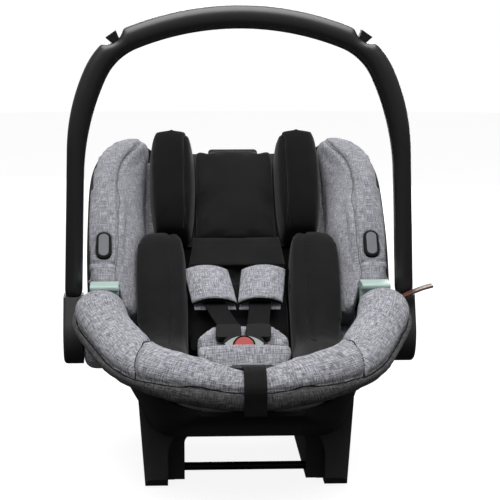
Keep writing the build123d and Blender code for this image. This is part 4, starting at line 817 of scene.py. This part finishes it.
def round_rim(places):
    """Weave of the rim cover: along the roll and round it."""
    radius = 0.03
    axis = smooth_line([at(*station[:3]) for station in rim_path], 0.004)
    ways = np.gradient(axis, axis=0)
    ways /= np.linalg.norm(ways, axis=1)[:, None]
    nearest = ((places[:, None, :2] - axis[None, :, :2]) ** 2).sum(2).argmin(1)
    offset, way = places - axis[nearest], ways[nearest]
    out = np.cross(way, (0, 0, 1))
    out /= np.linalg.norm(out, axis=1)[:, None]
    up = np.cross(out, way)
    turn = np.arctan2((offset * out).sum(1), (offset * up).sum(1))
    return lengths_along(axis)[nearest] + (offset * way).sum(1), turn * radius


def shade_skirt(cover, seam):
    """Paint shade on what lies under a seam, the outer wall and the underside, by giving it the darker skirt cloth."""
    below, inside, underside = 0.0015, 0.012, -0.3
    cover.data.materials.append(SHADED_SKIRT)
    line = smooth_line(seam, 0.006)
    for polygon in cover.data.polygons:
        centre = np.array(polygon.center)
        near = line[((line - centre) ** 2).sum(1).argmin()]
        outer = Vector(centre - near).dot(polygon.normal) > -inside
        if centre[2] < near[2] - below and (outer or polygon.normal.z < underside):
            polygon.material_index = 1


CORNER_PLACE, CORNER_LEAN = 3.35, 0.8
STITCH_SHARE = 0.17
welt = [rim_point(i, 1.0) for i in range(len(rim_path))]
corner = [
    rim_point(CORNER_PLACE + CORNER_LEAN * share, share)
    for share in (0.02, 0.2, 0.4, 0.6, 0.8, 1.0)
]
corner_right = [Vector((-p.x, p.y, p.z)) for p in corner]
top_stitch = [
    rim_point(place, STITCH_SHARE) for place in (3.6, 4, 4.5, 5, 5.5, 6, 6.5, 7, 7.5, 8, 8.4)
]
rim = stuffed(
    "front_rim_pad", "rim_cover", RIM_COVER, "shell", "grey_cover", swell=0.005,
    seams=[welt, corner, corner_right],
    creases=[(welt, 0.009, 0.003), (top_stitch, 0.002, 0.002), (corner, 0.006, 0.003),
             (corner_right, 0.006, 0.003)],
)
lay_weave(rim, *round_rim(points_of(rim.data)))
# Painted shade: what lies under the welt takes the darker skirt cloth
shade_skirt(rim, welt)

# Newborn insert: bolsters with a corded seam along the inside of their crown, back and seat.
# Rows: place up the back, share of the full height
BOLSTER = ((214, 0.72), (186, 0.96), (148, 1.0), (105, 1.0), (60, 1.0))
bolster_seam = [on_back(88 + 6 * (1 - size), s, 80 * size + 4) for s, size in BOLSTER]
bolster_seam += [at(90, -8, 160), at(91, -60, 158), at(90, -110, 158), at(86, -150, 154)]
bolster = stuffed(
    "bolster_right", "bolster_cover_right", BLACK_COVER, "shell", "charcoal_cover",
    seams=[bolster_seam],
)
mirrored(bolster, "bolster_left", "bolster_cover_left", "shell", "charcoal_cover")
stuffed("back_cushion", "back_cover", BLACK_COVER, "shell", "charcoal_cover")
stuffed("seat_cushion", "seat_cover", BLACK_COVER, "shell", "charcoal_cover")

# Linings of seat and back. Beside the insert, the back's is in the wings' darker grey, painted shade
LINING_EDGE = 0.104
stuffed(
    "seat_liner", "seat_lining", LINING, "shell", "foam", voxel=0.006, grow=0.0, blown=False,
)
lining = stuffed(
    "back_liner", "back_lining", LINING, "shell", "foam", voxel=0.006, grow=0.0, blown=False,
)
lining_points = points_of(lining.data)
lay_weave(lining, lining_points[:, 0], along_back(lining_points)[1])
lining.data.materials.append(SHADED_WING_COVER)
for polygon in lining.data.polygons:
    if abs(polygon.center[0]) > LINING_EDGE:
        polygon.material_index = 1

# Headrest: panel and wings, each wing with a corded seam along its front edge. Rows: place up the
# back and out of it
HEAD_X = 66
HEAD_EDGE = ((218, 74), (255, 88), (294, 91), (333, 90), (362, 84), (372, 70))
stuffed("headrest_cushion", "head_cover", BLACK_COVER, "headrest", "charcoal_cover")
head_seam = [on_back(HEAD_X, s, n) for s, n in HEAD_EDGE]
head = stuffed(
    "headrest_wing_right", "head_wing_cover_right", HEAD_COVER, "headrest", "charcoal_cover",
    seams=[head_seam],
)
mirrored(head, "headrest_wing_left", "head_wing_cover_left", "headrest", "charcoal_cover")

# Bulges beside the hubs, in a much lighter copy of the grey cover that paints light on them, and the crotch pad
side = stuffed("side_pad_right", "side_cover_right", LIT_SIDE_COVER, "shell", "grey_cover", voxel=0.004)
side_points = points_of(side.data)
lay_weave(side, side_points[:, 1], side_points[:, 2])
mirrored(side, "side_pad_left", "side_cover_left", "shell", "grey_cover")
crotch = stuffed(
    "crotch_pad", "crotch_cover", COVER, "shell", "grey_cover", voxel=0.0032, swell=0.003,
)
crotch_points = points_of(crotch.data)
upright = crotch_points[:, 1] * math.cos(BUCKLE) + crotch_points[:, 2] * math.sin(BUCKLE)
lay_weave(crotch, crotch_points[:, 0], upright)

# Harness: straps, the pads round them, and the flap over their upper ends. Each strap's x at the
# top of its pad, at the pad's foot and at the tongue
STRAP_X = {"left": (-42, -32, -18.5), "right": (34, 27, 18.5)}
STRAP_WIDTH, STRAP_THICK = 0.028, 0.0022
PAD_TOP, PAD_LENGTH, PAD_HALF = 159, 62, 29
FLAP_TOP, FLAP_LENGTH, FLAP_HALF, FLAP_FLARE = 217, 51, 57, 6
FLAP_RISE = ((166, 57.0), (180, 54.4), (196, 52.6), (208, 50.0), (217, 46.5))
QUILT_FILL = 0.5


def band(name, path, width, thick, material, slot, node, held, rests_on,
         across=Vector((1, 0, 0)), body="shell"):
    """Flat webbing along a path, its edges a little thicker."""
    line = smooth_line(path, 0.004)
    profile = [
        (-1, 0), (-0.97, 0.9), (-0.9, 1.1), (-0.8, 0.85), (0, 0.8), (0.8, 0.85), (0.9, 1.1),
        (0.97, 0.9),
    ]
    profile += [(-u, -h) for u, h in profile]
    vertices = []
    for i, point in enumerate(line):
        way = Vector(line[min(i + 1, len(line) - 1)] - line[max(i - 1, 0)]).normalized()
        side = (across - way * way.dot(across)).normalized()
        out = side.cross(way)
        vertices += [Vector(point) + side * u * width / 2 + out * h * thick / 2 for u, h in profile]
    obj = new_piece(name, vertices, tube_faces(len(line), len(profile)), material, body, slot)
    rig.replaces(obj, node)
    length = float(np.linalg.norm(np.diff(line, axis=0), axis=1).sum())
    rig.sheet(obj, flat=(width, length), held=held, rests_on=rests_on)
    return obj


def strap_height(s):
    """Height of a shoulder strap over the back: a parabola through the last points of its route."""
    top, middle, step = 157, 128, 29
    return 54.5 + 10 * (top - s) / step - 2 * (top - s) * (middle - s) / step ** 2


def over_strap(hand, camber):
    """Ground of a shoulder pad: across -1 to 1, along 0 at its top to 1 at its foot."""
    top, low, _ = STRAP_X[hand]

    def spot(across, along, lift):
        s = PAD_TOP - PAD_LENGTH * along
        high = strap_height(s) + camber * (1 - abs(across) ** 2.2) + lift
        return on_back(top + (low - top) * along + across * PAD_HALF, s, high)
    return spot


def under_head(across, along, lift):
    """Ground of the flap that hangs from the headrest over the upper straps."""
    s = FLAP_TOP - FLAP_LENGTH * along
    high = np.interp(s, *zip(*FLAP_RISE))
    return on_back(across * (FLAP_HALF + FLAP_FLARE * along), s, high + lift)


def quilt(name, spot, material, slot, reach, width, layer, hem, body="shell"):
    """Stuffed layer over a ground: its reach along it, its share of the ground's width, the heights
    of its two faces and the depth of its hem."""
    columns, rows = 29, 33
    edge_thick, edge_round, hem_in, hem_width = 0.35, 1.8, 5, 0.9
    weave_half, weave_length = 0.03, PAD_LENGTH / 1000
    middle = (layer[0] + layer[1]) / 2
    vertices, run, rise = [], [], []
    for face in (1, 0):
        for i in range(rows):
            for j in range(columns):
                u, v = 2 * j / (columns - 1) - 1, i / (rows - 1)
                from_side = (1 - abs(u)) * PAD_HALF * width
                from_end = (1 - abs(2 * v - 1)) * PAD_LENGTH / 2 * (reach[1] - reach[0])
                edge = min(from_side, from_end)
                full = edge_thick + (1 - edge_thick) * (1 - math.exp(-edge / edge_round))
                groove = hem * math.exp(-((edge - hem_in) / hem_width) ** 2)
                lift = middle + (layer[face] - middle) * full - (groove if face else 0)
                along = reach[0] + (reach[1] - reach[0]) * v
                vertices.append(spot(u * width, along, lift))
                run.append(u * weave_half)
                rise.append(along * weave_length)
    size = rows * columns
    faces = []
    for i in range(rows - 1):
        for j in range(columns - 1):
            a = i * columns + j
            faces.append((a, a + columns, a + columns + 1, a + 1))
            faces.append((size + a, size + a + 1, size + a + columns + 1, size + a + columns))
    ring = list(range(columns)) + [i * columns + columns - 1 for i in range(1, rows)]
    ring += [(rows - 1) * columns + j for j in range(columns - 2, -1, -1)]
    ring += [i * columns for i in range(rows - 2, 0, -1)]
    for a, b in zip(ring, ring[1:] + ring[:1]):
        faces.append((a, b, size + b, size + a))
    made = new_piece(name, vertices, faces, material, body, slot)
    lay_weave(made, np.array(run), np.array(rise))
    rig.padded(made, QUILT_FILL)
    return made


for hand, (top_x, low_x, tongue_x) in STRAP_X.items():
    middle_x = (top_x + low_x) / 2
    route = [
        on_back(top_x, 211, 24), on_back(top_x, 210.6, 40), on_back(top_x, 205, 47),
        on_back(top_x, 180, 49.8), on_back(top_x, 157, 54.5), on_back(middle_x, 128, 64.5),
        on_back(low_x, 99, 70.5),
    ]
    band(
        f"strap_{hand}", route, STRAP_WIDTH, STRAP_THICK, STRAP, "webbing",
        f"shoulder_strap_{hand}", "stretched", ["back_cover"],
    )
    start, end = on_back(low_x, 98.5, 70.5), in_buckle(tongue_x, 33, -13)
    sag = at(0, 0, -1.5)
    lower = band(
        f"strap_low_{hand}", [start, start.lerp(end, 0.5) + sag, end], STRAP_WIDTH, STRAP_THICK,
        STRAP, "webbing", f"tongue_strap_{hand}", "stretched", [f"tongue_{hand}"], body=None,
    )
    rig.blend(lower, "shell", f"tongue_{hand}", start, end)
    pad = quilt(
        f"shoulder_cover_{hand}", over_strap(hand, 12.5), COVER, "grey_cover",
        reach=(0, 1), width=1.0, layer=(-0.2, 5.2), hem=1.1,
    )
    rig.replaces(pad, f"shoulder_pad_{hand}")
    quilt(
        f"shoulder_lining_{hand}", over_strap(hand, 10.5), LINING, "charcoal_cover",
        reach=(0.03, 1.02), width=0.94, layer=(-1.2, 0.6), hem=0.0,
    )
    quilt(
        f"shoulder_back_{hand}", over_strap(hand, 0.0), COVER, "grey_cover",
        reach=(0.06, 1.11), width=0.92, layer=(-4.6, -2.2), hem=0.0,
    )
quilt(
    "head_flap", under_head, BLACK_COVER, "charcoal_cover",
    reach=(0, 1), width=1.0, layer=(-2.0, 2.2), hem=0.0, body="headrest",
)

# Pull strap over the rim, and the strap under the buckle
PULL_X, PULL_WIDTH = 3.5, 0.026
PULL_ROUTE = (
    (-251, 166.5), (-257, 168.6), (-270, 172.3), (-286.6, 172.4), (-299, 165.8), (-309.3, 154.3),
    (-309.9, 140), (-309.9, 121),
)
band(
    "pull_strap", [at(PULL_X, y, z) for y, z in PULL_ROUTE], PULL_WIDTH, STRAP_THICK, STRAP,
    "webbing", "adjuster_strap", "hung", ["rim_cover"],
)
band(
    "crotch_webbing", [in_buckle(0, y, -14) for y in (-52, -40, -27)], STRAP_WIDTH, STRAP_THICK,
    STRAP, "webbing", "crotch_strap", "stretched", ["buckle_housing"],
)

# Leather tab on the right-hand guide
TAB_Y, TAB_WIDTH, TAB_THICK = 16, 0.018, 0.0026
TAB_ROUTE = ((191.5, 193.5), (203, 198), (218, 205), (233, 211), (246, 214.5))
band(
    "tab", [at(x, TAB_Y, z) for x, z in TAB_ROUTE], TAB_WIDTH, TAB_THICK, LEATHER, "tab_leather",
    "pull_tab", "hung", ["belt_guide_right"], across=Vector((0, 1, 0)),
)

# Cords along the seams, and stitching. The near-black cord in the rim's welt and corner seams is partly real cord and
# partly painted shade in those seams
piping("seam_shade_cord", [
    (rim, welt, False), (rim, corner, False), (rim, corner_right, False),
], 0.0009, SEAM_SHADE_AND_RING, "shell", "grey_cover")
# The wing seam's cord is darker than the cloth, partly painted shade in the seam
piping("wing_seam_shade_cord", [(wing, wing_seam, True)], 0.0006, SEAM_SHADE_GREY, "shell", "grey_cover")
piping(
    "bolster_cord", [(bolster, bolster_seam, True)], 0.0012, BLACK_COVER, "shell", "charcoal_cover",
)
piping("head_cord", [(head, head_seam, True)], 0.0012, BLACK_COVER, "headrest", "charcoal_cover")
beside_seam = Vector((0.004, 0, 0))
stitches("stitching", [
    (rim, top_stitch, False),
    (wing, [p + beside_seam for p in wing_seam], True),
], THREAD, "shell", "grey_cover")

# The ring round the red button
RING_TURNS, RING_SIDES = 48, 8
RING_RADIUS, RING_WIRE = 13.4, 1.0
ring = []
for i in range(RING_TURNS):
    turn = 2 * math.pi * i / RING_TURNS
    for k in range(RING_SIDES):
        roll = 2 * math.pi * k / RING_SIDES
        reach = RING_RADIUS + RING_WIRE * math.cos(roll)
        high = RING_WIRE + RING_WIRE * math.sin(roll)
        ring.append(in_buckle(reach * math.cos(turn), reach * math.sin(turn), high))
ring_faces = tube_faces(RING_TURNS, RING_SIDES, closed=True)
new_piece("button_ring", ring, ring_faces, SEAM_SHADE_AND_RING, "shell", "shell_black")

# Springs shorten as their buttons go in
for name, joint, body in (
    ("hub_spring_left", "hub_button_left_press", "handle"),
    ("hub_spring_right", "hub_button_right_press", "handle"),
    ("buckle_spring", "buckle_button_press", "shell"),
):
    press = next(entry for entry in frame["joints"] if entry["name"] == joint)
    coil = placed(name + "_coil", nodes[name].data.copy())
    wire = points_of(coil.data)
    depth = wire @ np.array(press["axis"])
    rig.ride(coil, body)
    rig.slot(coil, "steel")
    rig.replaces(coil, name)
    keep = 1 - press["range_m"][1] / (depth.max() - depth.min())
    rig.squash(coil, joint, press["axis"], wire[depth.argmax()], keep)

# Moulded edges catch light, so the small hard parts are rounded
ROUND, TONGUE_ROUND = 0.0008, 0.0016
ROUNDED = (
    "tongue_left", "tongue_right", "buckle_housing", "buckle_plate", "buckle_button",
    "adjuster_housing", "belt_guide_left", "belt_guide_right",
)
for name in ROUNDED:
    nodes[name].modifiers.new("join", "WELD").merge_threshold = 0.00002
    rounding = nodes[name].modifiers.new("round", "BEVEL")
    rounding.width = TONGUE_ROUND if "tongue" in name else ROUND
    rounding.segments = 3
    rounding.limit_method = "ANGLE"
    rounding.angle_limit = math.radians(40)

# The bow is a soft oval tube
bow = nodes["handle_bow"].modifiers
even = bow.new("even", "REMESH")
even.mode = "VOXEL"
even.voxel_size = 0.0028
even.use_smooth_shade = True
bow.new("oval", "SMOOTH").iterations = 10
full = bow.new("full", "DISPLACE")
full.mid_level = 0.0
full.strength = 0.0007

# Floor: a round sheet of paper that turns up into a wall, open at the top. Points: radius, height
SWEEP = ((0.0, 0.0), (5.0, 0.0), (6.0, 0.15), (6.7, 0.7), (7.0, 1.7), (7.0, 5.0))
SWEEP_TURNS = 72
FLAT_RADIUS = SWEEP[1][0]
turns = [2 * np.pi * i / SWEEP_TURNS for i in range(SWEEP_TURNS)]
floor_points = [(r * np.cos(turn), r * np.sin(turn), z) for r, z in SWEEP for turn in turns]
floor_faces = tube_faces(len(SWEEP), SWEEP_TURNS)[:-2]
floor_mesh = bpy.data.meshes.new("floor")
floor_mesh.from_pydata(floor_points, [], floor_faces)
set_smooth(floor_mesh)
floor = placed("floor", floor_mesh)
for name, glow in (("floor_paper", 0.9), ("wall_paper", 0.96)):
    paper = Shade(name, Roughness=0.95, Specular_IOR_Level=0.05)
    mottle = paper.noise(paper.place, 3.0)
    paper.set("Base Color", paper.ramp(mottle, (0.3, tone(0.19)), (0.7, tone(0.21))))
    paper.shader.inputs["Emission Color"].default_value = (1, 1, 1, 1)
    paper.shader.inputs["Emission Strength"].default_value = glow
    floor_mesh.materials.append(paper.material)
for face in floor_mesh.polygons:
    face.material_index = int(face.center.xy.length > FLAT_RADIUS)
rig.stage(floor)
floor.visible_diffuse = False
floor.visible_glossy = False

# Light: a sky that darkens below the horizon, and three softboxes. Stops: place, grey
SKY_STOPS = ((0.42, 0.12), (0.56, 1))
world = bpy.data.worlds.new("studio")
world.use_nodes = True
sky_nodes, sky_links = world.node_tree.nodes, world.node_tree.links
background = sky_nodes["Background"]
background.inputs["Strength"].default_value = 0.3
around = sky_nodes.new("ShaderNodeTexCoord")
way = sky_nodes.new("ShaderNodeSeparateXYZ")
rise = sky_nodes.new("ShaderNodeMapRange")
rise.inputs["From Min"].default_value = -1.0
sky = sky_nodes.new("ShaderNodeValToRGB")
for stop, (place, grey) in zip(sky.color_ramp.elements, SKY_STOPS):
    stop.position, stop.color = place, (grey, grey, grey, 1)
sky_links.new(around.outputs["Generated"], way.inputs["Vector"])
sky_links.new(way.outputs["Z"], rise.inputs["Value"])
sky_links.new(rise.outputs["Result"], sky.inputs["Fac"])
sky_links.new(sky.outputs["Color"], background.inputs["Color"])
scene.world = world


def facing(place, aim):
    """The turn of a lamp or camera at a place that looks at its aim."""
    return (Vector(aim) - Vector(place)).to_track_quat("-Z", "Y").to_euler()


def softbox(name, place, aim, size, watts):
    """A flat lamp at a place, turned to what it lights."""
    light = bpy.data.lights.new(name, "AREA")
    light.shape = "RECTANGLE"
    light.size, light.size_y = size
    light.energy = watts
    obj = placed(name, light)
    obj.location = place
    obj.rotation_euler = facing(place, aim)
    obj.visible_camera = False


softbox("top", place=(0.0, -0.55, 1.95), aim=(0, -0.55, 0), size=(2.2, 2.9), watts=69)
softbox("key", place=(-0.9, -1.6, 1.9), aim=(0, 0, 0.25), size=(1.2, 1.2), watts=1.5)
softbox("back", place=(0.5, 2.6, 0.8), aim=(0, 0.2, 0.25), size=(1.8, 1.4), watts=50)

# Camera
CAMERA_PLACE = (-0.1072, -2.5171, 0.6637)
CAMERA_AIM = (0.0138, 0.048, 0.257)
camera_data = bpy.data.cameras.new("camera")
camera_data.sensor_width = 36
camera_data.lens = 145.44
camera = placed("camera", camera_data)
camera.location = CAMERA_PLACE
camera.rotation_euler = facing(CAMERA_PLACE, CAMERA_AIM)
scene.camera = camera
scene.view_settings.view_transform = "Standard"

with open("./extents.json", "w") as out:
    json.dump({"cad": [list(c) for c in cad_box], "visual": [list(c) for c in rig.bounds()]}, out)
